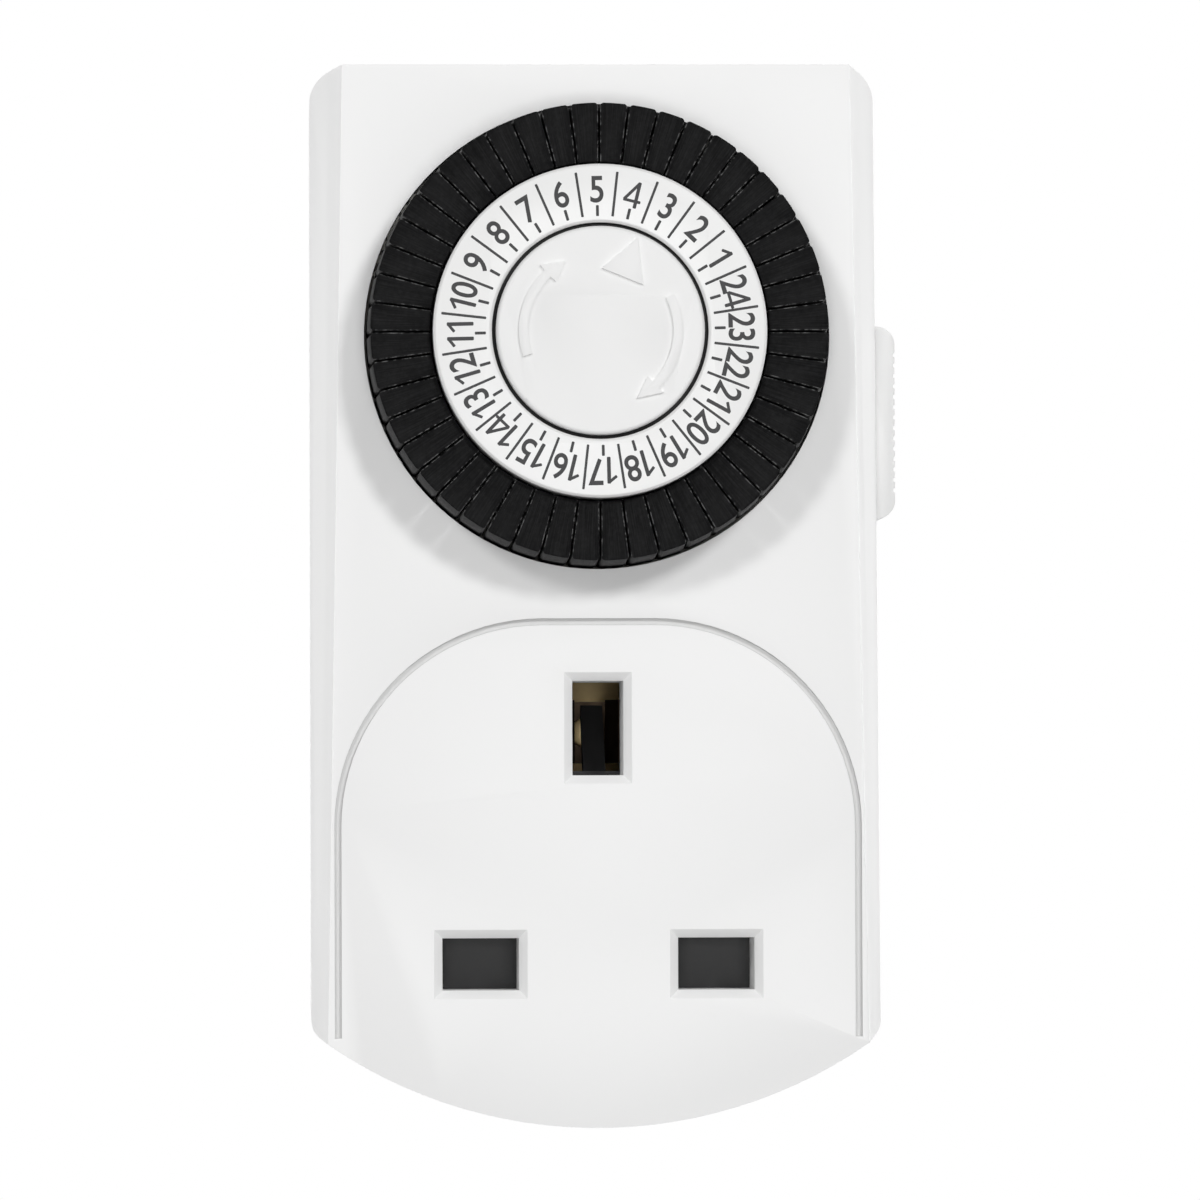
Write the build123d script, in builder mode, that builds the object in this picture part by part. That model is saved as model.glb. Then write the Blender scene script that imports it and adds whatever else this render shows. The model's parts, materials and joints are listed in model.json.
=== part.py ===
from build123d import *
import os
from math import acos, atan2, cos, degrees, hypot, pi, radians, sin, sqrt, tan

# A plug-in day timer: a white housing with three flat plug pins behind, one switched
# socket outlet in front, and a turning dial with 48 push-in half-hour tappets.
#
# Millimetres. X points right seen from the front, Z points up, and the front faces -Y.
# The origin lies on the plug face, midway between the earth pin and the line-neutral row.
# A depth is a distance in front of the plug face, so the depth d is the plane y = -d.

# ---------------------------------------------------------------- housing sizes
housing_width = 54.0
housing_depth = 36.0
housing_top = 73.7            # height of the top edge above the origin
housing_bottom = -26.5        # lowest point of the curved bottom edge
bottom_radius = 45.0
top_corner_radius = 2.5
bottom_corner_radius = 2.0
inner_corner_radius = 1.0
wall = 2.2
front_wall = 2.2
rear_wall = 2.5
rear_edge_chamfer = 0.8
parting_depth = 10.0          # where the two shells meet
tongue_thickness = 1.0
tongue_height = 2.0
shell_fit = 0.1

# The long side bevels: two facets each, wide and deep at the top, slim at the bottom.
face_in_top = 3.05            # from the side to the front face's edge
bevel_knee_in_top = 1.05
bevel_knee_depth_top = 6.0
bevel_depth_top = 12.0
face_in_bottom = 1.4
bevel_knee_in_bottom = 0.45
bevel_knee_depth_bottom = 2.5
bevel_depth_bottom = 6.0

# The arch-shaped groove round the socket field
groove_width = 0.65
groove_depth = 0.6
groove_in = 2.5               # from the side to the groove's straight run
groove_top = 21.1
groove_corner_radius = 19.2
groove_end = -18.0

# ---------------------------------------------------------------- plug and socket sizes
pin_row_spacing = 22.2        # line to neutral, and earth above their row
pin_width = 6.35
pin_thickness = 3.95
pin_length = 17.7
pin_sleeve_length = 9.5
pin_sleeve_thickness = 0.6
pin_tip_chamfer = 1.0
earth_pin_height = 7.95
earth_pin_length = 22.7
pin_fit = 0.05
flange_margin = 1.3           # the root flange stands this far out round the pin
flange_thickness = 1.5
tenon_radius = 1.5
tenon_length = 1.4
rivet_fit = 0.02

slot_width = 7.2
slot_height = 4.9
earth_slot_width = 4.8
earth_slot_height = 8.9
slot_chamfer = 0.8
tunnel_depth = 9.2
tunnel_wall = 1.2

strip = 0.8                   # thickness of the brass strips
bar_width = 4.0
bar_offset = 1.0              # the outlet bar's left edge, left of the line pin
feed_width = 2.8
feed_offset = 4.5             # the feed bar's left edge, left of the line pin
feed_root_half = 3.0
feed_clearance = 1.0          # between the earth tube and the feed bar's step
notch_margin = 0.4
neutral_tail_top = -1.0
socket_width = 6.0
socket_root_half = 4.2
socket_waist_half = 1.9
socket_mouth_half = 3.0
mouth_clearance = 0.8         # live contacts' mouths, behind the carrier's front
earth_mouth_clearance = 1.6   # earth contact's mouth, behind the shutter's ramp
socket_mouth_length = 2.6

# ---------------------------------------------------------------- dial sizes
dial_centre_z = 48.0
dial_opening_gap = 0.25       # round the tappets, in the housing's front
tappet_count = 48
hours = 24
tappet_height = 7.6           # the tappets' front faces, in front of the housing
tappet_ring_gap = 0.25        # from the number ring to the tappets
tappet_head_overhang = 3.6    # from the blade inwards
tappet_blade_thickness = 1.95
tappet_draft = 0.3            # how far the outer sides spread towards the housing
tappet_head_thickness = 2.6
tappet_gap = 0.2
tappet_corner_radius = 0.35
tappet_travel = 2.2
tappet_stop_gap = 0.1
tappet_rib_width = 1.0
tappet_rib_depth = 1.0
tappet_foot_reach = 1.9       # from the blade inwards
tappet_foot_height = 1.5
tappet_fit = 0.1

ring_height = 9.0             # the number ring's front face, in front of the housing
ring_outer_radius = 15.6
ring_inner_radius = 10.1
ring_wall = 1.8
ring_edge_chamfer = 0.25
dial_floor_in = 1.8           # from the ring's front back to the dial's floor
dial_web_thickness = 1.6
hub_radius = 4.5
post_radius = 2.0
post_flange_radius = 3.2
running_fit = 0.05

cap_height = 9.6              # the cap's front face, in front of the housing
cap_gap = 0.35                # between the cap and the number ring
cap_thickness = 1.7
cap_edge_radius = 0.4
cap_boss_radius = 3.4
cap_boss_height = 0.5
cap_socket_depth = 1.8
post_tip_radius = 1.5
emboss_height = 0.35
arrow_radius = 7.2
arrow_width = 0.85
arrow_head_half = 1.05
pointer_direction = 68.0      # degrees from +X towards +Z
pointer_base_radius = 5.4
pointer_tip_radius = 9.2
pointer_half_width = 2.05

# ---------------------------------------------------------------- drive sizes
plate_behind_front = 11.0     # from the housing's front back to the gear plate's rear face
plate_thickness = 2.0
plate_side_in = 3.8           # from the housing's side
plate_bottom = 25.5
plate_top_in = 3.8
plate_corner = 10.0
gear_module = 0.45
pressure_angle = 25.0
addendum = 0.8                # in modules
dedendum = 1.1                # in modules
tooth_thinning = 0.06
dial_teeth = 48
pinion_teeth = 12
wheel_teeth = 40
wheel_thickness = 1.2
layer_gap = 0.3
dial_gear_thickness = 2.0
axle_radius = 1.0
reduction_direction = 150.0   # from the dial centre to the reduction axle
motor_direction = -70.0       # from the reduction axle to the motor shaft

motor_radius = 16.0
motor_side_gap = 0.4          # from the motor to the housing's inner side
motor_z = 53.0
motor_gap = 0.6               # between the terminals and the motor can
motor_sheet = 0.6
motor_cover_thickness = 0.8
motor_ear_distance = 18.3
motor_ear_radius = 2.5
motor_ear_directions = (30.0, -120.0)
coil_inner_radius = 5.0
coil_outer_radius = 14.8
coil_clearance = 3.2          # from the coil to the motor's cover
shaft_collar_radius = 2.2
shaft_collar_length = 1.5
bobbin_flange = 1.0

pillar_radius = 2.5
pillar_places = ((16.0, 58.0), (-17.0, 31.0), (-2.0, 30.0))
small_screw_radius = 1.0
small_head_radius = 1.9
small_head_height = 1.4
small_screw_length = 9.0
motor_screw_length = 2.6

top_boss_in = (6.5, 5.3)      # from the side and from the top
bottom_boss_in = (5.5, 13.1)  # from the side and from the lowest point
front_boss_radius = 2.8
rear_boss_radius = 4.2
boss_meeting_depth = 12.0
screw_recess_radius = 3.0
screw_head_depth = 6.0
screw_head_radius = 2.7
screw_head_height = 2.0
screw_radius = 1.2
screw_length = 22.0
screw_fit = 0.05

# ---------------------------------------------------------------- override and timed switch
slider_centre_depth = 18.0
slider_cap_width = 8.0
slider_cap_length = 18.5
slider_cap_bottom = 31.3
slider_cap_height = 2.0
slider_gap = 0.15
slider_travel = 4.0
slider_neck_length = 8.0
slider_neck_width = 4.8
slider_neck_centre = 39.5
slider_slot_fit = 0.1
slider_plate_thickness = 1.2
slider_plate_width = 9.0
slider_plate_bottom = 31.0
slider_plate_top = 46.5
slider_arm_length = 6.0
slider_arm_overlap = 1.5      # how far the arm laps over the plate, in depth
slider_arm_margin = 0.2
slider_end_radius = 1.8
grip_count = 14
grip_pitch = 1.0
grip_width = 0.4
grip_depth = 0.15
bridge_width = 2.0
bridge_thickness = 0.45
bridge_gap = 0.03

base_left = 4.5
base_margin = 0.4             # the switch base's right side, past the pads
base_bottom = 24.8
base_top = 48.6
terminal_depth = 12.0         # front faces of both terminals
pad_in = 7.0                  # from the housing's side to the pads
pad_width = 2.4
outlet_pad_top = 37.5
feed_bar_bottom = 40.0
feed_bar_top = 45.0
feed_lane_left = 4.9
feed_lane_width = 3.0
arm_centre_x = 12.2
arm_width = 3.6
arm_pivot_z = 29.0
arm_hub_radius = 0.9
arm_hub_half = 2.0
trunnion_radius = 0.5
trunnion_half = 3.0
arm_leaf = 0.5
arm_top = 43.4
contact_z = 41.5
contact_radius = 1.5
fixed_contact_height = 0.5
contact_gap = 1.45
contact_head = 0.35
moving_contact_height = 0.8
terminal_lip = 2.0            # how far the outlet terminal reaches past the arm's axis
ear_thickness = 0.6

lever_pivot_z = 29.5
lever_pivot_in = 2.5          # depths behind the gear plate's rear face
lever_pin_radius = 0.8
lever_left = 13.5
lever_right = 18.5
lever_cheek = 0.9
lever_hub_radius = 1.8
lever_beam_bottom = 31.4
lever_beam_top = 40.0
lever_beam_rear_in = 3.4
lever_beam_front_in = 1.2
lever_lug_gap = 0.3
lever_lug_thickness = 1.2
nose_reach = 0.9              # from the tappets' feet outwards to the middle of the nose
nose_width = 0.7
nose_length = 1.5
nose_gap = 0.4
nose_stub = 2.0
nose_stub_out = 1.2           # the stub's end, in front of the gear plate
heel_z = 35.0
heel_width = 1.4
heel_gap = 0.65               # from the contact arm to the heel at rest
window_left = 14.0
window_right = 18.2
window_below_nose = 3.0
window_above_nose = 4.4
torsion_radius = 1.45
torsion_wire = 0.2
torsion_turns = 4

# ---------------------------------------------------------------- shutter and carrier
shutter_thickness = 2.0
shutter_gap = 0.2
shutter_bar_length = 30.4
shutter_bar_height = 6.4
shutter_bar_corner = 2.0
shutter_stem_width = 6.0
shutter_travel = 6.4
ramp_length = 8.0
ramp_half_width = 1.05
ramp_thickness = 1.5
ramp_lip = 1.0
shutter_spring_radius = 1.6
shutter_spring_wire = 0.2
shutter_spring_turns = 6
spring_notch_width = 5.2
spring_notch_height = 2.3
spring_peg_radius = 1.0
spring_peg_height = 1.5
guide_rib_thickness = 1.2
guide_rib_gap = 0.2
guide_rib_bottom = -6.6
guide_rib_top = 4.2
pocket_width = 9.4
pocket_height = 10.4
earth_pocket_width = 10.4
earth_pocket_height = 10.9
carrier_wall = 1.2
carrier_web_depth = 8.0
lead_radius = 0.65
lead_bend = 4.0               # at least three lead diameters
lead_rise = 4.5               # from the terminals to where the leads run up to the motor
neutral_lead_turn_z = 30.0
line_lead_z = 28.0
lead_seat = 1.0               # end of the neutral lead, above the carrier

# ---------------------------------------------------------------- derived places
inner_front = housing_depth - front_wall
plate_depth = housing_depth - plate_behind_front
tappet_front = housing_depth + tappet_height
ring_front = housing_depth + ring_height
dial_floor_front = ring_front - dial_floor_in
cap_front = housing_depth + cap_height
half_width = housing_width / 2
cap_radius = ring_inner_radius - cap_gap
tappet_inner_radius = ring_outer_radius + tappet_ring_gap
tappet_blade_inner = tappet_inner_radius + tappet_head_overhang
tappet_outer_radius = tappet_blade_inner + tappet_blade_thickness
tappet_base_radius = tappet_outer_radius + tappet_draft
tappet_foot_inner = tappet_blade_inner - tappet_foot_reach
dial_opening_radius = tappet_base_radius + dial_opening_gap
plate_half_width = half_width - plate_side_in
plate_top = housing_top - plate_top_in
pad_right = half_width - pad_in
pad_left = pad_right - pad_width
base_right = pad_right + base_margin
boss_places = [
    (side * (half_width - boss_in), z)
    for boss_in, z in (
        (top_boss_in[0], housing_top - top_boss_in[1]),
        (bottom_boss_in[0], housing_bottom + bottom_boss_in[1]),
    )
    for side in (1, -1)
]
bottom_centre_z = housing_bottom + bottom_radius
line_x = pin_row_spacing / 2
live_z = -pin_row_spacing / 2
earth_z = pin_row_spacing / 2
bar_left = line_x - bar_offset
feed_left = line_x - feed_offset
flange_front = rear_wall + flange_thickness
tunnel_rear = housing_depth - tunnel_depth
shutter_front = tunnel_rear - shutter_gap
shutter_rear = shutter_front - shutter_thickness
carrier_front = shutter_rear - shutter_gap
ramp_rear = shutter_front - ramp_length
socket_mouth_depth = carrier_front - mouth_clearance
earth_mouth_depth = ramp_rear - earth_mouth_clearance
plate_front = plate_depth + plate_thickness
wheel_rear = plate_front + layer_gap
wheel_front = wheel_rear + wheel_thickness
dial_rear = wheel_front + layer_gap
web_rear = dial_rear + dial_gear_thickness
web_front = web_rear + dial_web_thickness
head_rear = tappet_front - tappet_head_thickness
carrier_top = head_rear - tappet_travel - tappet_stop_gap
foot_front = web_front + 2 * tappet_stop_gap
foot_rear = foot_front - tappet_foot_height
foot_sweep_rear = foot_rear - tappet_travel - layer_gap
ring_carrier_rear = foot_front + 2 * tappet_stop_gap
terminal_rear = terminal_depth - strip
motor_front = plate_depth - shutter_gap
motor_cover_rear = motor_front - motor_cover_thickness
motor_rear = terminal_depth + motor_gap
contact_face = terminal_depth + fixed_contact_height + contact_gap
arm_pivot_depth = contact_face + moving_contact_height + arm_leaf / 2
lever_pivot_depth = plate_depth - lever_pivot_in
lever_beam_rear = plate_depth - lever_beam_rear_in
lever_beam_front = plate_depth - lever_beam_front_in
nose_stub_front = plate_front + nose_stub_out
heel_tip_depth = arm_pivot_depth + arm_leaf / 2 + heel_gap
lead_depth = terminal_depth + lead_rise
dial_axis = Axis((0, 0, dial_centre_z), (0, 1, 0))
cap_rear = cap_front - cap_thickness
cap_boss_rear = cap_rear - cap_boss_height


def polar(centre, distance, direction):
    """Point at a distance and a direction in degrees from a centre, seen from the front."""
    angle = radians(direction)
    return (centre[0] + distance * cos(angle), centre[1] + distance * sin(angle))


dial_centre = (0, dial_centre_z)
reduction_centre = polar(dial_centre, gear_module * (dial_teeth + pinion_teeth) / 2, reduction_direction)
motor_shaft = polar(reduction_centre, gear_module * (wheel_teeth + pinion_teeth) / 2, motor_direction)
motor_centre = (wall + motor_side_gap + motor_radius - half_width, motor_z)
motor_ears = [polar(motor_centre, motor_ear_distance, way) for way in motor_ear_directions]
# The lever feels the tappets' feet low on the right, straight in front of its beam
nose_radius = tappet_foot_inner + nose_reach
sensing_direction = -degrees(acos((lever_left + lever_right) / 2 / nose_radius))
nose_centre = polar(dial_centre, nose_radius, sensing_direction)
window_bottom = nose_centre[1] - window_below_nose
window_top = nose_centre[1] + window_above_nose

os.makedirs("parts", exist_ok=True)


def finish(piece, name):
    """Label a finished piece and write it out under its own name."""
    piece.part.label = name
    export_step(piece.part, f"parts/{name}.step")


def at_depth(depth):
    """Plane parallel to the plug face: its x is X, its y is Z and its normal is the front."""
    return Plane.XZ.offset(depth)


def from_left(x):
    """Upright plane facing +X at this x: its x is Y, which is minus the depth, its y is Z."""
    return Plane.YZ.offset(x)


# ---------------------------------------------------------------- housing shapes
def housing_outline(depth, inset, top_radius, bottom_radius_at_corner):
    """Front view of the housing, moved inwards by inset."""
    half = half_width - inset
    top = housing_top - inset
    arc = bottom_radius - inset
    shoulder = bottom_centre_z - sqrt(arc**2 - half**2)
    with BuildSketch(at_depth(depth)) as outline:
        with BuildLine():
            Polyline((half, shoulder), (half, top), (-half, top), (-half, shoulder))
            ThreePointArc((-half, shoulder), (0, bottom_centre_z - arc), (half, shoulder))
        make_face()
        fillet(outline.vertices().group_by(Axis.Y)[-1], top_radius)
        fillet(outline.vertices().group_by(Axis.Y)[0], bottom_radius_at_corner)
    return outline.sketch


def bevel_section(height, face_half_width, knee_in, knee_depth, bevel_depth, inset):
    """What the right-hand bevel takes away at one height, moved inwards by inset."""
    front = -housing_depth
    outside = half_width + inset + 1
    run = half_width - face_half_width - knee_in
    rise = bevel_depth - knee_depth
    reach = outside - half_width
    with BuildSketch(Plane.XY.offset(height)) as section:
        with BuildLine():
            Polyline(
                (face_half_width - inset, front - 1),
                (face_half_width - inset, front),
                (face_half_width + knee_in - inset, front + knee_depth),
                (half_width - inset + reach, front + bevel_depth + reach * rise / run),
                (outside, front - 1),
                close=True,
            )
        make_face()
    return section.sketch


def side_bevels(inset):
    """Both side bevels as one cutter; the housing's cavity uses it one wall further in."""
    top = bevel_section(
        housing_top,
        half_width - face_in_top,
        bevel_knee_in_top,
        bevel_knee_depth_top,
        bevel_depth_top,
        inset,
    )
    bottom = bevel_section(
        housing_bottom,
        half_width - face_in_bottom,
        bevel_knee_in_bottom,
        bevel_knee_depth_bottom,
        bevel_depth_bottom,
        inset,
    )
    with BuildPart() as cutter:
        loft(sections=[bottom, top], ruled=True)
        mirror(about=Plane.YZ)
    return cutter.part


def arch(depth, grow):
    """The field inside the arch groove's centre line, grown by grow; open at the bottom."""
    half = half_width - groove_in + grow
    top = groove_top + grow
    with BuildSketch(at_depth(depth)) as field:
        with BuildLine():
            Polyline((-half, groove_end), (-half, top), (half, top), (half, groove_end), close=True)
        make_face()
        fillet(field.vertices().group_by(Axis.Y)[-1], groove_corner_radius + grow)
    return field.sketch


outer_bevels = side_bevels(0)
inner_bevels = side_bevels(wall)

# ---------------------------------------------------------------- front cover
with BuildPart() as front_cavity:
    extrude(
        housing_outline(parting_depth, wall, inner_corner_radius, inner_corner_radius),
        amount=inner_front - parting_depth,
    )
    add(inner_bevels, mode=Mode.SUBTRACT)

with BuildPart() as front_cover:
    extrude(
        housing_outline(parting_depth, 0, top_corner_radius, bottom_corner_radius),
        amount=housing_depth - parting_depth,
    )
    add(outer_bevels, mode=Mode.SUBTRACT)
    add(front_cavity.part, mode=Mode.SUBTRACT)
    # Rebate for the rear cover's tongue
    extrude(
        housing_outline(
            parting_depth, wall - tongue_thickness - shell_fit, inner_corner_radius, inner_corner_radius
        ),
        amount=tongue_height + shell_fit,
        mode=Mode.SUBTRACT,
    )
    # Screw bosses, with a pilot hole each
    with BuildSketch(at_depth(boss_meeting_depth)):
        with Locations(boss_places):
            Circle(front_boss_radius)
    extrude(amount=inner_front - boss_meeting_depth)
    with BuildSketch(at_depth(boss_meeting_depth)):
        with Locations(boss_places):
            Circle(screw_radius + screw_fit)
    extrude(amount=screw_head_depth + screw_length - boss_meeting_depth + 1, mode=Mode.SUBTRACT)
    # Tunnels behind the three slots
    with BuildSketch(at_depth(tunnel_rear)):
        with Locations((-line_x, live_z), (line_x, live_z)):
            Rectangle(slot_width + 2 * tunnel_wall, slot_height + 2 * tunnel_wall)
        with Locations((0, earth_z)):
            Rectangle(earth_slot_width + 2 * tunnel_wall, earth_slot_height + 2 * tunnel_wall)
    extrude(amount=inner_front - tunnel_rear)
    # Ribs that guide the shutter's stem
    rib_x = (shutter_stem_width + guide_rib_thickness) / 2 + guide_rib_gap
    rib_middle = (guide_rib_bottom + guide_rib_top) / 2
    with BuildSketch(at_depth(shutter_rear + shutter_gap)):
        with Locations((-rib_x, rib_middle), (rib_x, rib_middle)):
            Rectangle(guide_rib_thickness, guide_rib_top - guide_rib_bottom)
    extrude(amount=inner_front - shutter_rear - shutter_gap)
    # Peg for the shutter spring, on the floor of the housing
    with BuildSketch(Plane.XY.offset(housing_bottom + wall / 2)):
        with Locations((0, -(shutter_front + shutter_rear) / 2)):
            Circle(spring_peg_radius)
    extrude(amount=wall / 2 + spring_peg_height)
    # The three slots themselves, chamfered at the front
    with BuildSketch(at_depth(tunnel_rear)):
        with Locations((-line_x, live_z), (line_x, live_z)):
            Rectangle(slot_width, slot_height)
        with Locations((0, earth_z)):
            Rectangle(earth_slot_width, earth_slot_height)
    extrude(amount=tunnel_depth, mode=Mode.SUBTRACT)
    slot_edges = [
        edge
        for edge in front_cover.edges().group_by(Axis.Y)[0]
        if abs(edge.center().X) < line_x + slot_width
        and live_z - slot_height < edge.center().Z < earth_z + earth_slot_height
    ]
    chamfer(slot_edges, slot_chamfer)
    # Round opening for the dial, and room behind it for the tappets' blades
    with BuildSketch(at_depth(foot_sweep_rear)):
        with Locations(dial_centre):
            Circle(dial_opening_radius)
    extrude(amount=housing_depth - foot_sweep_rear, mode=Mode.SUBTRACT)
    # Arch groove
    with BuildSketch(at_depth(housing_depth - groove_depth)):
        add(arch(0, groove_width / 2))
        add(arch(0, -groove_width / 2), mode=Mode.SUBTRACT)
    extrude(amount=groove_depth, mode=Mode.SUBTRACT)
    # Slot for the override slider's neck, long enough for its travel
    slot_middle = slider_neck_centre + slider_travel / 2
    with BuildSketch(from_left(half_width - 2 * wall)):
        with Locations((-slider_centre_depth, slot_middle)):
            Rectangle(
                slider_neck_width + 2 * slider_slot_fit,
                slider_neck_length + slider_travel + 2 * slider_slot_fit,
            )
    extrude(amount=2 * wall, mode=Mode.SUBTRACT)
finish(front_cover, "front_cover")

# ---------------------------------------------------------------- rear cover
with BuildPart() as rear_cover:
    extrude(housing_outline(0, 0, top_corner_radius, bottom_corner_radius), amount=parting_depth)
    chamfer(rear_cover.faces().sort_by(Axis.Y)[-1].edges(), rear_edge_chamfer)
    extrude(
        housing_outline(rear_wall, wall, inner_corner_radius, inner_corner_radius),
        amount=parting_depth - rear_wall,
        mode=Mode.SUBTRACT,
    )
    # Tongue that enters the front cover
    with BuildSketch(at_depth(parting_depth)):
        add(housing_outline(0, wall - tongue_thickness, inner_corner_radius, inner_corner_radius))
        add(housing_outline(0, wall, inner_corner_radius, inner_corner_radius), mode=Mode.SUBTRACT)
    extrude(amount=tongue_height)
    # Screw bosses with deep counterbores, and pillars that carry the gear plate
    with BuildSketch(at_depth(rear_wall)):
        with Locations(boss_places):
            Circle(rear_boss_radius)
    extrude(amount=boss_meeting_depth - rear_wall)
    with BuildSketch(at_depth(rear_wall)):
        with Locations(pillar_places):
            Circle(pillar_radius)
    extrude(amount=plate_depth - rear_wall)
    with BuildSketch(at_depth(0)):
        with Locations(boss_places):
            Circle(screw_recess_radius)
    extrude(amount=screw_head_depth, mode=Mode.SUBTRACT)
    with BuildSketch(at_depth(0)):
        with Locations(boss_places):
            Circle(screw_radius + 2 * screw_fit)
    extrude(amount=boss_meeting_depth, mode=Mode.SUBTRACT)
    with BuildSketch(at_depth(plate_depth)):
        with Locations(pillar_places):
            Circle(small_screw_radius + screw_fit)
    extrude(amount=-small_screw_length, mode=Mode.SUBTRACT)
    # Holes for the three pins
    with BuildSketch(at_depth(0)):
        with Locations((-line_x, live_z), (line_x, live_z)):
            Rectangle(pin_width + 2 * pin_fit, pin_thickness + 2 * pin_fit)
        with Locations((0, earth_z)):
            Rectangle(pin_thickness + 2 * pin_fit, earth_pin_height + 2 * pin_fit)
    extrude(amount=rear_wall, mode=Mode.SUBTRACT)
finish(rear_cover, "rear_cover")

with BuildPart() as housing_screws:
    with BuildSketch(at_depth(screw_head_depth - screw_head_height)):
        with Locations(boss_places):
            Circle(screw_head_radius)
    extrude(amount=screw_head_height)
    with BuildSketch(at_depth(screw_head_depth)):
        with Locations(boss_places):
            Circle(screw_radius)
    extrude(amount=screw_length)
    # Cross recess in each head
    with BuildSketch(at_depth(screw_head_depth - screw_head_height)):
        with Locations(boss_places):
            Rectangle(2 * screw_radius, screw_radius / 2)
            Rectangle(screw_radius / 2, 2 * screw_radius)
    extrude(amount=screw_head_height / 2, mode=Mode.SUBTRACT)
finish(housing_screws, "housing_screws")


# ---------------------------------------------------------------- plug pins
def live_pin(x):
    """Line or neutral pin: blade, slimmer neck under the sleeve, root flange and tenon."""
    with BuildPart() as pin:
        with BuildSketch(at_depth(-pin_length)):
            with Locations((x, live_z)):
                Rectangle(pin_width, pin_thickness)
        extrude(amount=pin_length - pin_sleeve_length)
        chamfer(pin.faces().sort_by(Axis.Y)[-1].edges(), pin_tip_chamfer)
        with BuildSketch(at_depth(-pin_sleeve_length)):
            with Locations((x, live_z)):
                Rectangle(pin_width - 2 * pin_sleeve_thickness, pin_thickness - 2 * pin_sleeve_thickness)
        extrude(amount=pin_sleeve_length + rear_wall)
        with BuildSketch(at_depth(rear_wall)):
            with Locations((x, live_z)):
                Rectangle(pin_width + 2 * flange_margin, pin_thickness + 2 * flange_margin)
        extrude(amount=flange_thickness)
        with BuildSketch(at_depth(flange_front)):
            with Locations((x, live_z)):
                Circle(tenon_radius)
        extrude(amount=tenon_length)
    return pin


finish(live_pin(line_x), "line_pin")
finish(live_pin(-line_x), "neutral_pin")

with BuildPart() as earth_pin:
    with BuildSketch(at_depth(-earth_pin_length)):
        with Locations((0, earth_z)):
            Rectangle(pin_thickness, earth_pin_height)
    extrude(amount=earth_pin_length + rear_wall)
    chamfer(earth_pin.faces().sort_by(Axis.Y)[-1].edges(), pin_tip_chamfer)
    with BuildSketch(at_depth(rear_wall)):
        with Locations((0, earth_z)):
            Rectangle(pin_thickness + 2 * flange_margin, earth_pin_height + 2 * flange_margin)
    extrude(amount=flange_thickness)
    with BuildSketch(at_depth(flange_front)):
        with Locations((0, earth_z)):
            Circle(tenon_radius)
    extrude(amount=tenon_length)
finish(earth_pin, "earth_pin")

with BuildPart() as pin_sleeves:
    neck_fit = 2 * (rivet_fit - pin_sleeve_thickness)
    with BuildSketch(at_depth(-pin_sleeve_length)):
        with Locations((-line_x, live_z), (line_x, live_z)):
            Rectangle(pin_width, pin_thickness)
            Rectangle(pin_width + neck_fit, pin_thickness + neck_fit, mode=Mode.SUBTRACT)
    extrude(amount=pin_sleeve_length + rear_wall)
finish(pin_sleeves, "pin_sleeves")


# ---------------------------------------------------------------- socket contacts
def contact_path(root_depth, mouth_depth):
    """One leaf, from its mouth to the root, then the other: pairs of depth and half gap."""
    waist_depth = mouth_depth - socket_mouth_length
    middle = root_depth + strip / 2
    leaf = [
        (mouth_depth, socket_mouth_half),
        (waist_depth, socket_waist_half),
        (middle, socket_root_half),
    ]
    return leaf + [(depth, -half) for depth, half in reversed(leaf)]


def live_socket(x, root_depth, tail_top):
    """Spring strip that grips a plug's live pin; its root reaches up to tail_top as a tab."""
    path = contact_path(root_depth, socket_mouth_depth)
    with BuildPart() as socket:
        with BuildSketch(from_left(x - socket_width / 2)):
            with BuildLine():
                Polyline([(-depth, live_z + half) for depth, half in path])
            trace(line_width=strip)
        extrude(amount=socket_width)
        with BuildSketch(at_depth(root_depth)):
            with Locations((x, (live_z + tail_top) / 2)):
                Rectangle(bar_width, tail_top - live_z)
        extrude(amount=strip)
        with BuildSketch(at_depth(root_depth)):
            with Locations((x, live_z)):
                Circle(tenon_radius + rivet_fit)
        extrude(amount=strip, mode=Mode.SUBTRACT)
    return socket


finish(live_socket(-line_x, flange_front, neutral_tail_top), "neutral_socket")
finish(live_socket(line_x, terminal_depth + strip, live_z + socket_root_half), "line_socket")

with BuildPart() as earth_socket:
    with BuildSketch(Plane.XY.offset(earth_z - socket_width / 2)):
        with BuildLine():
            Polyline([(half, -depth) for depth, half in contact_path(flange_front, earth_mouth_depth)])
        trace(line_width=strip)
    extrude(amount=socket_width)
    with BuildSketch(at_depth(flange_front)):
        with Locations((0, earth_z)):
            Circle(tenon_radius + rivet_fit)
    extrude(amount=strip, mode=Mode.SUBTRACT)
finish(earth_socket, "earth_socket")

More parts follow.
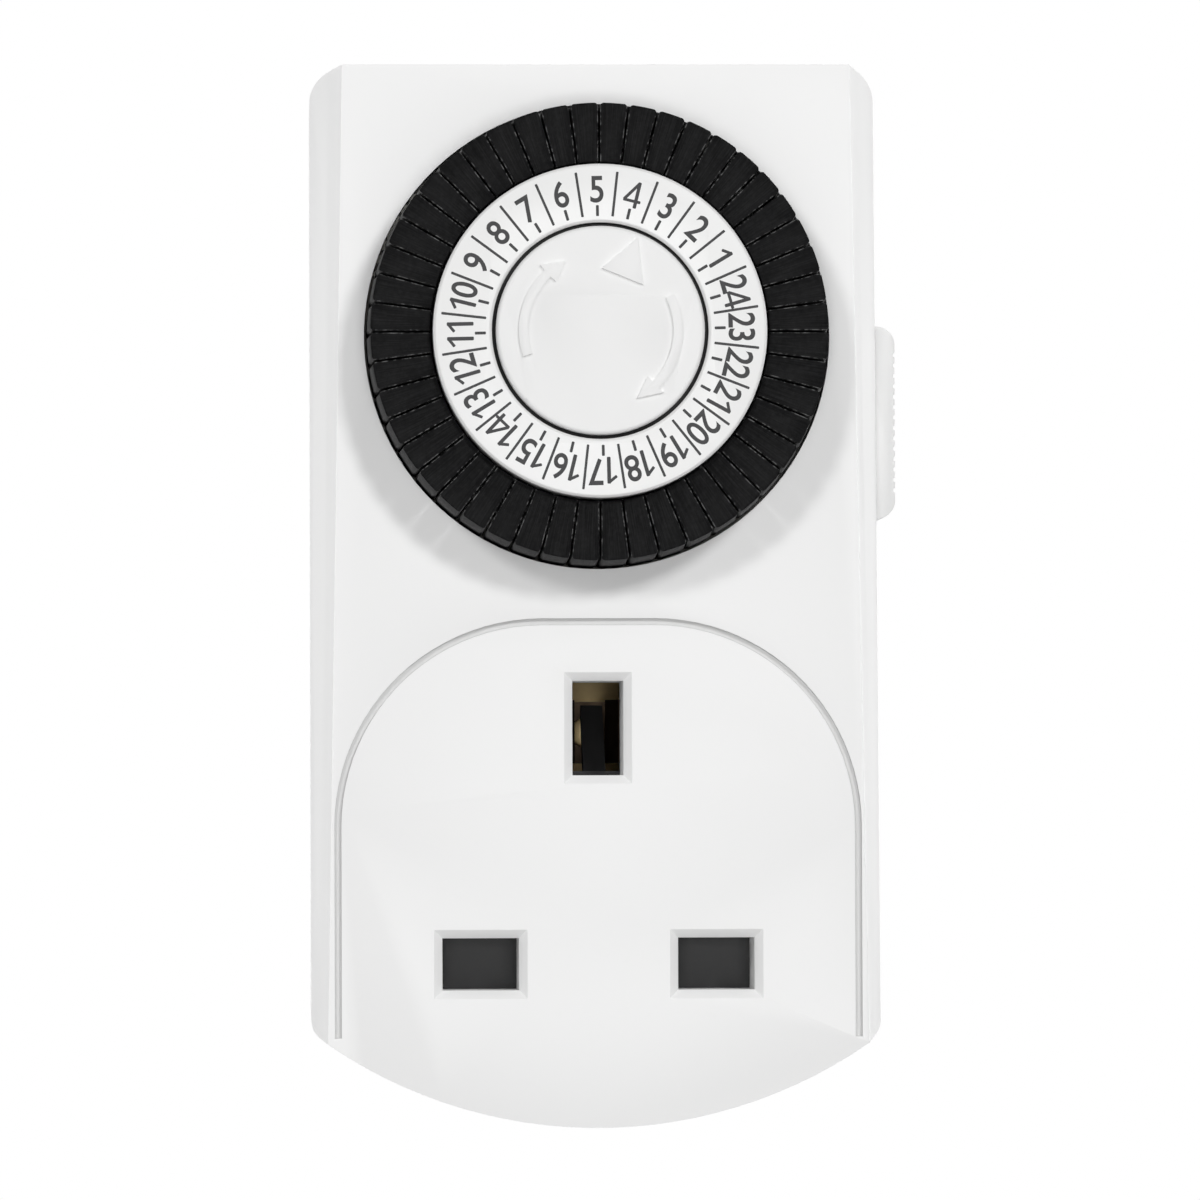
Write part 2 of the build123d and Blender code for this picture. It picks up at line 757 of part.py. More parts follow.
# ---------------------------------------------------------------- contact carrier
with BuildPart() as contact_carrier:
    with BuildSketch(at_depth(rear_wall)):
        with Locations((-line_x, live_z), (line_x, live_z)):
            Rectangle(pocket_width + 2 * carrier_wall, pocket_height + 2 * carrier_wall)
        with Locations((0, earth_z)):
            Rectangle(earth_pocket_width + 2 * carrier_wall, earth_pocket_height + 2 * carrier_wall)
    extrude(amount=carrier_front - rear_wall)
    # Web that joins the three tubes
    with BuildSketch(at_depth(carrier_web_depth)):
        with BuildLine():
            Polyline((-line_x, live_z), (line_x, live_z), (0, earth_z), close=True)
        make_face()
    extrude(amount=carrier_wall)
    with BuildSketch(at_depth(rear_wall)):
        with Locations((-line_x, live_z), (line_x, live_z)):
            Rectangle(pocket_width, pocket_height)
        with Locations((0, earth_z)):
            Rectangle(earth_pocket_width, earth_pocket_height)
    extrude(amount=carrier_front - rear_wall, mode=Mode.SUBTRACT)
    # Barrier in the line tube, between the pin's root and the socket contact
    with BuildSketch(at_depth(terminal_depth - carrier_wall)):
        with Locations((line_x, live_z)):
            Rectangle(pocket_width, pocket_height)
    extrude(amount=carrier_wall)
    # Notches in the line tube's top wall for the two brass bars
    wall_middle = live_z + (pocket_height + carrier_wall) / 2
    with BuildSketch(at_depth(rear_wall)):
        with Locations((feed_left + feed_width / 2, wall_middle)):
            Rectangle(feed_width + 2 * notch_margin, 2 * carrier_wall)
    extrude(amount=flange_thickness + strip + notch_margin, mode=Mode.SUBTRACT)
    with BuildSketch(at_depth(terminal_depth - notch_margin / 2)):
        with Locations((bar_left + bar_width / 2, wall_middle)):
            Rectangle(bar_width + 2 * notch_margin, 2 * carrier_wall)
    extrude(amount=strip + notch_margin, mode=Mode.SUBTRACT)
    # Notch in the neutral tube's top wall for the contact's tail
    with BuildSketch(at_depth(rear_wall)):
        with Locations((-line_x, wall_middle)):
            Rectangle(bar_width + 2 * notch_margin, 2 * carrier_wall)
    extrude(amount=flange_thickness + strip + notch_margin, mode=Mode.SUBTRACT)
    # Slot in the earth tube's lower wall for the shutter's ramp
    with BuildSketch(at_depth(earth_mouth_depth - 2 * notch_margin)):
        with Locations((0, earth_z - (earth_pocket_height + carrier_wall) / 2)):
            Rectangle(2 * (ramp_half_width + notch_margin), 2 * carrier_wall)
    extrude(amount=carrier_front - earth_mouth_depth + 2 * notch_margin, mode=Mode.SUBTRACT)
finish(contact_carrier, "contact_carrier")

# ---------------------------------------------------------------- safety shutter
bar_bottom = live_z - shutter_bar_height / 2
ramp_foot = earth_z - earth_pin_height / 2
with BuildPart() as shutter:
    with BuildSketch(at_depth(shutter_rear)) as bar_outline:
        with Locations((0, live_z)):
            RectangleRounded(shutter_bar_length, shutter_bar_height, shutter_bar_corner)
        with Locations((0, (live_z + ramp_foot) / 2)):
            Rectangle(shutter_stem_width, ramp_foot - live_z)
        with Locations((0, bar_bottom + spring_notch_height / 2)):
            Rectangle(spring_notch_width, spring_notch_height, mode=Mode.SUBTRACT)
    extrude(amount=shutter_thickness)
    # Ramp that the plug's earth pin pushes down
    with BuildSketch(from_left(-ramp_half_width)):
        with BuildLine():
            Polyline(
                (-shutter_front, ramp_foot),
                (-ramp_rear, ramp_foot + shutter_travel),
                (-ramp_rear + ramp_lip, ramp_foot + shutter_travel - ramp_lip),
                (-shutter_rear, ramp_foot - ramp_thickness),
                (-shutter_front, ramp_foot - ramp_thickness),
                close=True,
            )
        make_face()
    extrude(amount=2 * ramp_half_width)
finish(shutter, "shutter")

spring_floor = housing_bottom + wall
spring_top = bar_bottom + spring_notch_height
spring_height = spring_top - spring_floor - 2 * shutter_spring_wire
spring_middle_y = -(shutter_front + shutter_rear) / 2
with BuildPart() as shutter_spring:
    with BuildLine() as coil:
        Helix(
            pitch=spring_height / shutter_spring_turns,
            height=spring_height,
            radius=shutter_spring_radius,
            center=(0, spring_middle_y, spring_floor + shutter_spring_wire),
        )
    with BuildSketch(Plane(coil.line @ 0, z_dir=coil.line % 0)):
        Circle(shutter_spring_wire)
    sweep(path=coil.line)
finish(shutter_spring, "shutter_spring")


# ---------------------------------------------------------------- gears
def gear_outline(depth, centre, teeth, first_tooth):
    """Involute spur gear, with one tooth centred on the direction first_tooth in degrees."""
    pitch_radius = gear_module * teeth / 2
    base_radius = pitch_radius * cos(radians(pressure_angle))
    tip_radius = pitch_radius + addendum * gear_module
    root_radius = pitch_radius - dedendum * gear_module
    start_radius = max(base_radius, root_radius)
    pitch_half_angle = pi / (2 * teeth) - tooth_thinning / (2 * pitch_radius)

    def involute(radius):
        angle = acos(min(1.0, base_radius / radius))
        return tan(angle) - angle

    flank = [(root_radius, start_radius)] if root_radius < base_radius else []
    for step in range(3):
        radius = start_radius + (tip_radius - start_radius) * step / 2
        flank.append((radius, radius))
    points = []
    for tooth in range(teeth):
        direction = radians(first_tooth) + 2 * pi * tooth / teeth
        for side in (-1, 1):
            for radius, shape_radius in flank[::-side]:
                half = pitch_half_angle + involute(pitch_radius) - involute(shape_radius)
                angle = direction + side * half
                points.append((centre[0] + radius * cos(angle), centre[1] + radius * sin(angle)))
    with BuildSketch(at_depth(depth)) as outline:
        with BuildLine():
            Polyline(points, close=True)
        make_face()
    return outline.sketch


# A tooth of the dial gear points at the pinion, and a gap of the pinion points back at it.
mesh_back = reduction_direction + 180
motor_back = motor_direction + 180

# ---------------------------------------------------------------- dial post and gear plate
with BuildPart() as dial_post:
    post_steps = (
        (plate_depth, plate_front, post_tip_radius),
        (plate_front, wheel_front, post_flange_radius),
        (wheel_front, cap_boss_rear, post_radius),
        (cap_boss_rear, cap_boss_rear + cap_socket_depth - running_fit, post_tip_radius),
    )
    for start, end, radius in post_steps:
        with BuildSketch(at_depth(start)):
            with Locations(dial_centre):
                Circle(radius)
        extrude(amount=end - start)
finish(dial_post, "dial_post")

pinion_hole_radius = gear_module * (pinion_teeth / 2 + addendum) + layer_gap
lug_places = (
    lever_left - lever_lug_gap - lever_lug_thickness,
    lever_right + lever_lug_gap,
)
with BuildPart() as gear_plate:
    with BuildSketch(at_depth(plate_depth)) as plate_outline:
        with Locations((0, (plate_top + plate_bottom) / 2)):
            Rectangle(2 * plate_half_width, plate_top - plate_bottom)
        chamfer(plate_outline.vertices().group_by(Axis.Y)[-1], plate_corner)
        with Locations(dial_centre):
            Circle(post_tip_radius, mode=Mode.SUBTRACT)
        with Locations(reduction_centre):
            Circle(axle_radius, mode=Mode.SUBTRACT)
        with Locations(motor_shaft):
            Circle(pinion_hole_radius, mode=Mode.SUBTRACT)
        with Locations(pillar_places):
            Circle(small_screw_radius + 2 * screw_fit, mode=Mode.SUBTRACT)
        with Locations(motor_ears):
            Circle(small_screw_radius + screw_fit, mode=Mode.SUBTRACT)
        with Locations(((window_left + window_right) / 2, (window_bottom + window_top) / 2)):
            Rectangle(window_right - window_left, window_top - window_bottom, mode=Mode.SUBTRACT)
    extrude(amount=plate_thickness)
    # Two lugs behind the plate that hold the lever's pin
    for lug_x in lug_places:
        with BuildSketch(from_left(lug_x)):
            with Locations((-(plate_depth + lever_pivot_depth - lever_hub_radius) / 2, lever_pivot_z)):
                Rectangle(plate_depth - lever_pivot_depth + lever_hub_radius, 2 * lever_hub_radius)
            with Locations((-lever_pivot_depth, lever_pivot_z)):
                Circle(lever_pin_radius + rivet_fit, mode=Mode.SUBTRACT)
        extrude(amount=lever_lug_thickness)
finish(gear_plate, "gear_plate")

with BuildPart() as plate_screws:
    # Three from the front into the pillars, two from behind through the motor's ears
    with BuildSketch(at_depth(plate_front)):
        with Locations(pillar_places):
            Circle(small_head_radius)
    extrude(amount=small_head_height)
    with BuildSketch(at_depth(plate_front)):
        with Locations(pillar_places):
            Circle(small_screw_radius)
    extrude(amount=-small_screw_length)
    with BuildSketch(at_depth(motor_cover_rear)):
        with Locations(motor_ears):
            Circle(small_head_radius)
    extrude(amount=-small_head_height)
    with BuildSketch(at_depth(motor_cover_rear)):
        with Locations(motor_ears):
            Circle(small_screw_radius)
    extrude(amount=motor_screw_length)
    # Straight slots in the heads
    with BuildSketch(at_depth(plate_front + small_head_height)):
        with Locations(pillar_places):
            Rectangle(2 * small_head_radius, small_screw_radius / 2)
    extrude(amount=-small_head_height / 2, mode=Mode.SUBTRACT)
    with BuildSketch(at_depth(motor_cover_rear - small_head_height)):
        with Locations(motor_ears):
            Rectangle(2 * small_head_radius, small_screw_radius / 2)
    extrude(amount=small_head_height / 2, mode=Mode.SUBTRACT)
finish(plate_screws, "plate_screws")

# ---------------------------------------------------------------- dial disc
ring_middle = ring_outer_radius - ring_wall
with BuildPart() as dial_disc:
    extrude(
        gear_outline(dial_rear, dial_centre, dial_teeth, reduction_direction),
        amount=dial_gear_thickness,
    )
    with BuildSketch(from_left(0)):
        with BuildLine():
            Polyline(
                (-web_rear, dial_centre_z),
                (-web_rear, dial_centre_z + ring_outer_radius),
                (-ring_front, dial_centre_z + ring_outer_radius),
                (-ring_front, dial_centre_z + ring_inner_radius),
                (-dial_floor_front, dial_centre_z + ring_inner_radius),
                (-dial_floor_front, dial_centre_z),
                close=True,
            )
        make_face()
    revolve(axis=dial_axis)
    # Hollow between the hub and the outer wall
    with BuildSketch(at_depth(web_front)):
        with Locations(dial_centre):
            Circle(ring_middle)
            Circle(hub_radius, mode=Mode.SUBTRACT)
    extrude(amount=dial_floor_front - ring_wall - web_front, mode=Mode.SUBTRACT)
    with BuildSketch(at_depth(dial_rear)):
        with Locations(dial_centre):
            Circle(post_radius + running_fit)
    extrude(amount=dial_floor_front - dial_rear, mode=Mode.SUBTRACT)
    chamfer(dial_disc.edges().group_by(Axis.Y)[0], ring_edge_chamfer)
finish(dial_disc, "dial_disc")

# ---------------------------------------------------------------- tappets
tappet_pitch = 360 / tappet_count
carrier_outer = tappet_blade_inner - tappet_fit

with BuildPart() as tappet_carrier:
    with BuildSketch(at_depth(ring_carrier_rear)):
        with Locations(dial_centre):
            Circle(carrier_outer)
            Circle(ring_outer_radius + running_fit, mode=Mode.SUBTRACT)
            with PolarLocations(carrier_outer, tappet_count, start_angle=tappet_pitch / 2):
                Rectangle(
                    2 * (tappet_rib_depth + tappet_fit) - tappet_fit,
                    tappet_rib_width + tappet_fit,
                    mode=Mode.SUBTRACT,
                )
    extrude(amount=carrier_top - ring_carrier_rear)
finish(tappet_carrier, "tappet_carrier")


def dial_plane(depth, direction):
    """Front-facing plane at the dial's centre whose y axis points in the direction given."""
    angle = radians(direction - 90)
    return Plane(
        origin=(0, -depth, dial_centre_z), x_dir=(cos(angle), 0, sin(angle)), z_dir=(0, -1, 0)
    )


def tappet_section(depth, direction, outer_radius):
    """One segment of the tappet ring: straight sides, half a gap clear of its neighbours."""
    half_pitch = radians(tappet_pitch / 2)

    def half_at(height):
        return height * tan(half_pitch) - tappet_gap / 2 / cos(half_pitch)

    with BuildSketch(dial_plane(depth, direction)) as section:
        with BuildLine():
            Polyline(
                (-half_at(tappet_inner_radius), tappet_inner_radius),
                (-half_at(tappet_base_radius), tappet_base_radius),
                (half_at(tappet_base_radius), tappet_base_radius),
                (half_at(tappet_inner_radius), tappet_inner_radius),
                close=True,
            )
        make_face()
        Circle(outer_radius, mode=Mode.INTERSECT)
        fillet(section.vertices().group_by(Axis.Y)[-1], tappet_corner_radius)
    return section.sketch


def rib_section(depth, direction, inner_radius, outer_radius):
    """Rib on the inner side of a tappet's blade, which slides in a groove of the carrier."""
    with BuildSketch(dial_plane(depth, direction)) as section:
        with Locations((0, (inner_radius + outer_radius) / 2)):
            Rectangle(tappet_rib_width, outer_radius - inner_radius)
    return section.sketch


rib_inner = tappet_blade_inner - tappet_rib_depth
for hour in range(1, hours + 1):
    # Seen from the front, the hours run anticlockwise, and 5 stands at the top at rest.
    hour_direction = 90 + (hour - 5) * 360 / hours
    tappet_directions = (hour_direction - tappet_pitch / 2, hour_direction + tappet_pitch / 2)
    with BuildPart() as tappets:
        for direction in tappet_directions:
            base = tappet_section(housing_depth, direction, tappet_base_radius)
            face = tappet_section(tappet_front, direction, tappet_outer_radius)
            loft(sections=[base, face], ruled=True)
            extrude(
                tappet_section(foot_rear, direction, tappet_base_radius),
                amount=housing_depth - foot_rear,
            )
        # Only the head reaches inwards over the carrier; behind it the blade stays thin
        with BuildSketch(at_depth(foot_rear)):
            with Locations(dial_centre):
                Circle(tappet_blade_inner)
        extrude(amount=head_rear - foot_rear, mode=Mode.SUBTRACT)
        for direction in tappet_directions:
            extrude(
                rib_section(foot_rear, direction, rib_inner, tappet_blade_inner + tappet_fit),
                amount=head_rear - foot_rear,
            )
            extrude(
                rib_section(foot_rear, direction, tappet_foot_inner, rib_inner),
                amount=tappet_foot_height,
            )
    finish(tappets, f"tappets_hour_{hour:02d}")

# ---------------------------------------------------------------- centre cap
with BuildPart() as centre_cap:
    with BuildSketch(at_depth(cap_rear)):
        with Locations(dial_centre):
            Circle(cap_radius)
    extrude(amount=cap_thickness)
    fillet(centre_cap.edges().group_by(Axis.Y)[0], cap_edge_radius)
    with BuildSketch(at_depth(cap_boss_rear)):
        with Locations(dial_centre):
            Circle(cap_boss_radius)
    extrude(amount=cap_boss_height)
    with BuildSketch(at_depth(cap_boss_rear)):
        with Locations(dial_centre):
            Circle(post_tip_radius + rivet_fit)
    extrude(amount=cap_socket_depth, mode=Mode.SUBTRACT)
    # Raised pointer, and two raised arrows that show the dial's turning direction
    with BuildSketch(at_depth(cap_front)):
        tip = polar(dial_centre, pointer_tip_radius, pointer_direction)
        base_middle = polar(dial_centre, pointer_base_radius, pointer_direction)
        with BuildLine():
            Polyline(
                tip,
                polar(base_middle, pointer_half_width, pointer_direction + 90),
                polar(base_middle, pointer_half_width, pointer_direction - 90),
                close=True,
            )
        make_face()
    extrude(amount=emboss_height)
    for tail, neck, head in ((199.0, 131.0, 117.0), (26.0, -47.0, -62.0)):
        with BuildSketch(at_depth(cap_front)):
            with BuildLine():
                CenterArc(dial_centre, arrow_radius, tail, neck - tail)
            trace(line_width=arrow_width)
        extrude(amount=emboss_height)
        with BuildSketch(at_depth(cap_front)):
            with BuildLine():
                Polyline(
                    polar(dial_centre, arrow_radius, head),
                    polar(dial_centre, arrow_radius + arrow_head_half, neck + 2),
                    polar(dial_centre, arrow_radius - arrow_head_half, neck + 2),
                    close=True,
                )
            make_face()
        extrude(amount=emboss_height)
finish(centre_cap, "centre_cap")

# ---------------------------------------------------------------- reduction gear and motor
with BuildPart() as reduction_axle:
    with BuildSketch(at_depth(plate_depth)):
        with Locations(reduction_centre):
            Circle(axle_radius)
    extrude(amount=web_rear - layer_gap / 2 - plate_depth)
finish(reduction_axle, "reduction_axle")

pinion_front = web_rear - layer_gap
with BuildPart() as reduction_gear:
    extrude(
        gear_outline(wheel_rear, reduction_centre, wheel_teeth, motor_direction),
        amount=wheel_thickness,
    )
    extrude(
        gear_outline(wheel_front, reduction_centre, pinion_teeth, mesh_back + 180 / pinion_teeth),
        amount=pinion_front - wheel_front,
    )
    with BuildSketch(at_depth(wheel_rear)):
        with Locations(reduction_centre):
            Circle(axle_radius + running_fit)
    extrude(amount=pinion_front - wheel_rear, mode=Mode.SUBTRACT)
finish(reduction_gear, "reduction_gear")

coil_rear = motor_rear + motor_sheet
coil_length = motor_cover_rear - coil_rear - coil_clearance
shaft_rear = motor_cover_rear - layer_gap / 2 - shaft_collar_length
with BuildPart() as motor_pinion:
    extrude(
        gear_outline(wheel_rear, motor_shaft, pinion_teeth, motor_back + 180 / pinion_teeth),
        amount=wheel_thickness,
    )
    with BuildSketch(at_depth(shaft_rear)):
        with Locations(motor_shaft):
            Circle(axle_radius)
    extrude(amount=wheel_rear - shaft_rear)
    with BuildSketch(at_depth(shaft_rear)):
        with Locations(motor_shaft):
            Circle(shaft_collar_radius)
    extrude(amount=shaft_collar_length)
finish(motor_pinion, "motor_pinion")

with BuildPart() as motor_can:
    with BuildSketch(at_depth(motor_rear)):
        with Locations(motor_centre):
            Circle(motor_radius)
    extrude(amount=motor_cover_rear - motor_rear)
    fillet(motor_can.edges().group_by(Axis.Y)[-1], motor_sheet)
    with BuildSketch(at_depth(coil_rear)):
        with Locations(motor_centre):
            Circle(motor_radius - motor_sheet)
    extrude(amount=motor_cover_rear - coil_rear, mode=Mode.SUBTRACT)
finish(motor_can, "motor_can")

with BuildPart() as motor_cover:
    with BuildSketch(at_depth(motor_cover_rear)):
        with Locations(motor_centre):
            Circle(motor_radius)
        for ear in motor_ears:
            with BuildLine():
                Line(motor_centre, ear)
            trace(line_width=2 * motor_ear_radius)
        with Locations(motor_ears):
            Circle(motor_ear_radius)
            Circle(small_screw_radius + screw_fit, mode=Mode.SUBTRACT)
        with Locations(motor_shaft):
            Circle(axle_radius + running_fit, mode=Mode.SUBTRACT)
    extrude(amount=motor_cover_thickness)
finish(motor_cover, "motor_cover")

with BuildPart() as motor_coil:
    # Bobbin with two flanges, filled with its winding almost to their rims
    with BuildSketch(at_depth(coil_rear)):
        with Locations(motor_centre):
            Circle(coil_outer_radius)
    extrude(amount=coil_length)
    with BuildSketch(at_depth(coil_rear + motor_sheet)):
        with Locations(motor_centre):
            Circle(coil_outer_radius)
            Circle(coil_outer_radius - bobbin_flange, mode=Mode.SUBTRACT)
    extrude(amount=coil_length - 2 * motor_sheet, mode=Mode.SUBTRACT)
    with BuildSketch(at_depth(coil_rear)):
        with Locations(motor_centre):
            Circle(coil_inner_radius)
    extrude(amount=coil_length, mode=Mode.SUBTRACT)
finish(motor_coil, "motor_coil")

# ---------------------------------------------------------------- line circuit
with BuildPart() as switch_base:
    with BuildSketch(at_depth(rear_wall)):
        with BuildLine():
            Polyline(
                (base_left, base_bottom),
                (base_right, base_bottom),
                (base_right, base_top),
                (base_left, base_top),
                close=True,
            )
        make_face()
    extrude(amount=terminal_rear - rear_wall)
    # Hollow behind, as a moulding with even walls
    with BuildSketch(at_depth(rear_wall)):
        with BuildLine():
            Polyline(
                (base_left + wall, base_bottom + wall),
                (base_right - wall, base_bottom + wall),
                (base_right - wall, base_top - wall),
                (base_left + wall, base_top - wall),
                close=True,
            )
        make_face()
    extrude(amount=terminal_rear - wall - rear_wall, mode=Mode.SUBTRACT)
finish(switch_base, "switch_base")

feed_rear = flange_front
feed_step_z = earth_z + earth_pocket_height / 2 + carrier_wall + feed_clearance
riser_front_z = base_bottom - layer_gap


def plate_corners(left, bottom, right, top):
    """Flat rectangular strip in the sketch that is open."""
    with Locations(((left + right) / 2, (bottom + top) / 2)):
        Rectangle(right - left, top - bottom)


with BuildPart() as line_feed_bar:
    # Strip riveted to the line pin, clear of the earth tube on its way up
    with BuildSketch(at_depth(feed_rear)):
        plate_corners(
            feed_left, live_z - feed_root_half, line_x + feed_root_half, live_z + feed_root_half
        )
        plate_corners(feed_left, live_z, feed_left + feed_width, feed_step_z + feed_width)
        plate_corners(feed_lane_left, feed_step_z, feed_left + feed_width, feed_step_z + feed_width)
        plate_corners(feed_lane_left, feed_step_z, feed_lane_left + feed_lane_width, riser_front_z)
        with Locations((line_x, live_z)):
            Circle(tenon_radius + rivet_fit, mode=Mode.SUBTRACT)
    extrude(amount=strip)
    with BuildSketch(at_depth(feed_rear)):
        plate_corners(
            feed_lane_left, riser_front_z - strip, feed_lane_left + feed_lane_width, riser_front_z
        )
    extrude(amount=terminal_depth - feed_rear)
    # Terminal on the switch base, with the fixed contact and the override's upper pad
    with BuildSketch(at_depth(terminal_rear)):
        plate_corners(
            feed_lane_left, riser_front_z - strip, feed_lane_left + feed_lane_width, feed_bar_top
        )
        plate_corners(feed_lane_left, feed_bar_bottom, pad_right, feed_bar_top)
        plate_corners(pad_left, feed_bar_bottom, pad_right, base_top)
    extrude(amount=strip)
    with BuildSketch(at_depth(terminal_depth)):
        with Locations((arm_centre_x, contact_z)):
            Circle(contact_radius)
    extrude(amount=fixed_contact_height)
finish(line_feed_bar, "line_feed_bar")

with BuildPart() as line_outlet_bar:
    with BuildSketch(at_depth(terminal_depth)):
        plate_corners(
            bar_left, live_z - socket_root_half, bar_left + bar_width, base_bottom + terminal_lip
        )
        with Locations((line_x, live_z)):
            Circle(tenon_radius + rivet_fit, mode=Mode.SUBTRACT)
    extrude(amount=strip)
    with BuildSketch(at_depth(terminal_rear)):
        plate_corners(arm_centre_x - trunnion_half, base_bottom, pad_right, arm_pivot_z + terminal_lip)
        plate_corners(pad_left, base_bottom, pad_right, outlet_pad_top)
    extrude(amount=strip)
    # Ears that hold the contact arm's trunnions
    ear_inner = arm_hub_half + layer_gap
    for ear_x in (arm_centre_x - ear_inner - ear_thickness, arm_centre_x + ear_inner):
        with BuildSketch(from_left(ear_x)):
            with Locations((-(terminal_depth + arm_pivot_depth + 1) / 2, arm_pivot_z)):
                Rectangle(arm_pivot_depth + 1 - terminal_depth, 2 * (trunnion_radius + ear_thickness))
            with Locations((-arm_pivot_depth, arm_pivot_z)):
                Circle(trunnion_radius + running_fit, mode=Mode.SUBTRACT)
        extrude(amount=ear_thickness)
finish(line_outlet_bar, "line_outlet_bar")


# ---------------------------------------------------------------- motor leads
def motor_lead(points):
    """Insulated lead through the points given, then straight towards the motor can's axis."""
    turn_x, turn_y, turn_z = points[-1]
    direction = degrees(atan2(turn_z - motor_z, turn_x - motor_centre[0]))
    end_x, end_z = polar(motor_centre, motor_radius + rivet_fit, direction)
    with BuildPart() as lead:
        with BuildLine() as run:
            FilletPolyline(*points, (end_x, turn_y, end_z), radius=lead_bend)
        with BuildSketch(Plane(run.line @ 0, z_dir=run.line % 0)):
            Circle(lead_radius)
        sweep(path=run.line)
    return lead.part


neutral_lead_y = -(flange_front + strip + lead_radius + rivet_fit)
line_lead_x = feed_lane_left + feed_lane_width / 2
with BuildPart() as motor_leads:
    add(
        motor_lead(
            [
                (-line_x, neutral_lead_y, neutral_tail_top - lead_seat),
                (-line_x, neutral_lead_y, neutral_lead_turn_z),
                (-line_x, -lead_depth, neutral_lead_turn_z),
            ]
        )
    )
    add(
        motor_lead(
            [
                (line_lead_x, -terminal_depth, line_lead_z),
                (line_lead_x, -lead_depth, line_lead_z),
            ]
        )
    )
finish(motor_leads, "motor_leads")

# ---------------------------------------------------------------- contact arm
with BuildPart() as contact_arm:
    with BuildSketch(from_left(arm_centre_x - arm_hub_half)):
        with Locations((-arm_pivot_depth, arm_pivot_z)):
            Circle(arm_hub_radius)
    extrude(amount=2 * arm_hub_half)
    with BuildSketch(from_left(arm_centre_x - trunnion_half)):
        with Locations((-arm_pivot_depth, arm_pivot_z)):
            Circle(trunnion_radius)
    extrude(amount=2 * trunnion_half)
    with BuildSketch(at_depth(arm_pivot_depth - arm_leaf / 2)):
        plate_corners(
            arm_centre_x - arm_width / 2, arm_pivot_z, arm_centre_x + arm_width / 2, arm_top
        )
    extrude(amount=arm_leaf)
    # Moving contact, riveted through the leaf
    with BuildSketch(at_depth(contact_face)):
        with Locations((arm_centre_x, contact_z)):
            Circle(contact_radius)
    extrude(amount=arm_pivot_depth + arm_leaf / 2 + contact_head - contact_face)
finish(contact_arm, "contact_arm")

# ---------------------------------------------------------------- follower lever
with BuildPart() as follower_pin:
    with BuildSketch(from_left(lug_places[0])):
        with Locations((-lever_pivot_depth, lever_pivot_z)):
            Circle(lever_pin_radius)
    extrude(amount=lug_places[1] + lever_lug_thickness - lug_places[0])
finish(follower_pin, "follower_pin")

with BuildPart() as follower_lever:
    for cheek_x in (lever_left, lever_right - lever_cheek):
        with BuildSketch(from_left(cheek_x)):
            with Locations((-lever_pivot_depth, lever_pivot_z)):
                Circle(lever_hub_radius)
            with BuildLine():
                Polyline(
                    (-lever_beam_rear, lever_pivot_z),
                    (-lever_beam_front, lever_pivot_z),
                    (-lever_beam_front, lever_beam_top),
                    (-lever_beam_rear, lever_beam_top),
                    close=True,
                )
            make_face()
            with Locations((-lever_pivot_depth, lever_pivot_z)):
                Circle(lever_pin_radius + running_fit, mode=Mode.SUBTRACT)
        extrude(amount=lever_cheek)
    with BuildSketch(at_depth(lever_beam_rear)):
        plate_corners(lever_left, lever_beam_bottom, lever_right, lever_beam_top)
        plate_corners(
            arm_centre_x - heel_width / 2, heel_z - heel_width, lever_left, heel_z + heel_width
        )
    extrude(amount=lever_beam_front - lever_beam_rear)
    # Nose that stands between two tappet feet, on a stub through the plate's window
    with BuildSketch(at_depth(lever_beam_front)):
        with Locations(nose_centre):
            Rectangle(nose_stub, nose_stub)
    extrude(amount=nose_stub_front - lever_beam_front)
    with BuildSketch(at_depth(nose_stub_front)):
        with Locations(Location((nose_centre[0], nose_centre[1]), sensing_direction)):
            Rectangle(nose_length, nose_width)
    extrude(amount=foot_rear - nose_gap - nose_stub_front)
    # Heel that presses the contact arm, with a round end
    heel_round = heel_width / 2
    with BuildSketch(from_left(arm_centre_x - heel_round)):
        with BuildLine():
            Polyline(
                (-(heel_tip_depth + heel_round), heel_z - heel_round),
                (-lever_beam_rear, heel_z - heel_round),
                (-lever_beam_rear, heel_z + heel_round),
                (-(heel_tip_depth + heel_round), heel_z + heel_round),
            )
            ThreePointArc(
                (-(heel_tip_depth + heel_round), heel_z + heel_round),
                (-heel_tip_depth, heel_z),
                (-(heel_tip_depth + heel_round), heel_z - heel_round),
            )
        make_face()
    extrude(amount=heel_width)
finish(follower_lever, "follower_lever")

spring_length = lever_right - lever_left - 2 * lever_cheek - 4 * torsion_wire
spring_left = lever_left + lever_cheek + 2 * torsion_wire
with BuildPart() as follower_spring:
    with BuildLine() as torsion_coil:
        Helix(
            pitch=spring_length / torsion_turns,
            height=spring_length,
            radius=torsion_radius,
            center=(spring_left, -lever_pivot_depth, lever_pivot_z),
            direction=(1, 0, 0),
        )
    with BuildSketch(Plane(torsion_coil.line @ 0, z_dir=torsion_coil.line % 0)):
        Circle(torsion_wire)
    sweep(path=torsion_coil.line)
finish(follower_spring, "follower_spring")

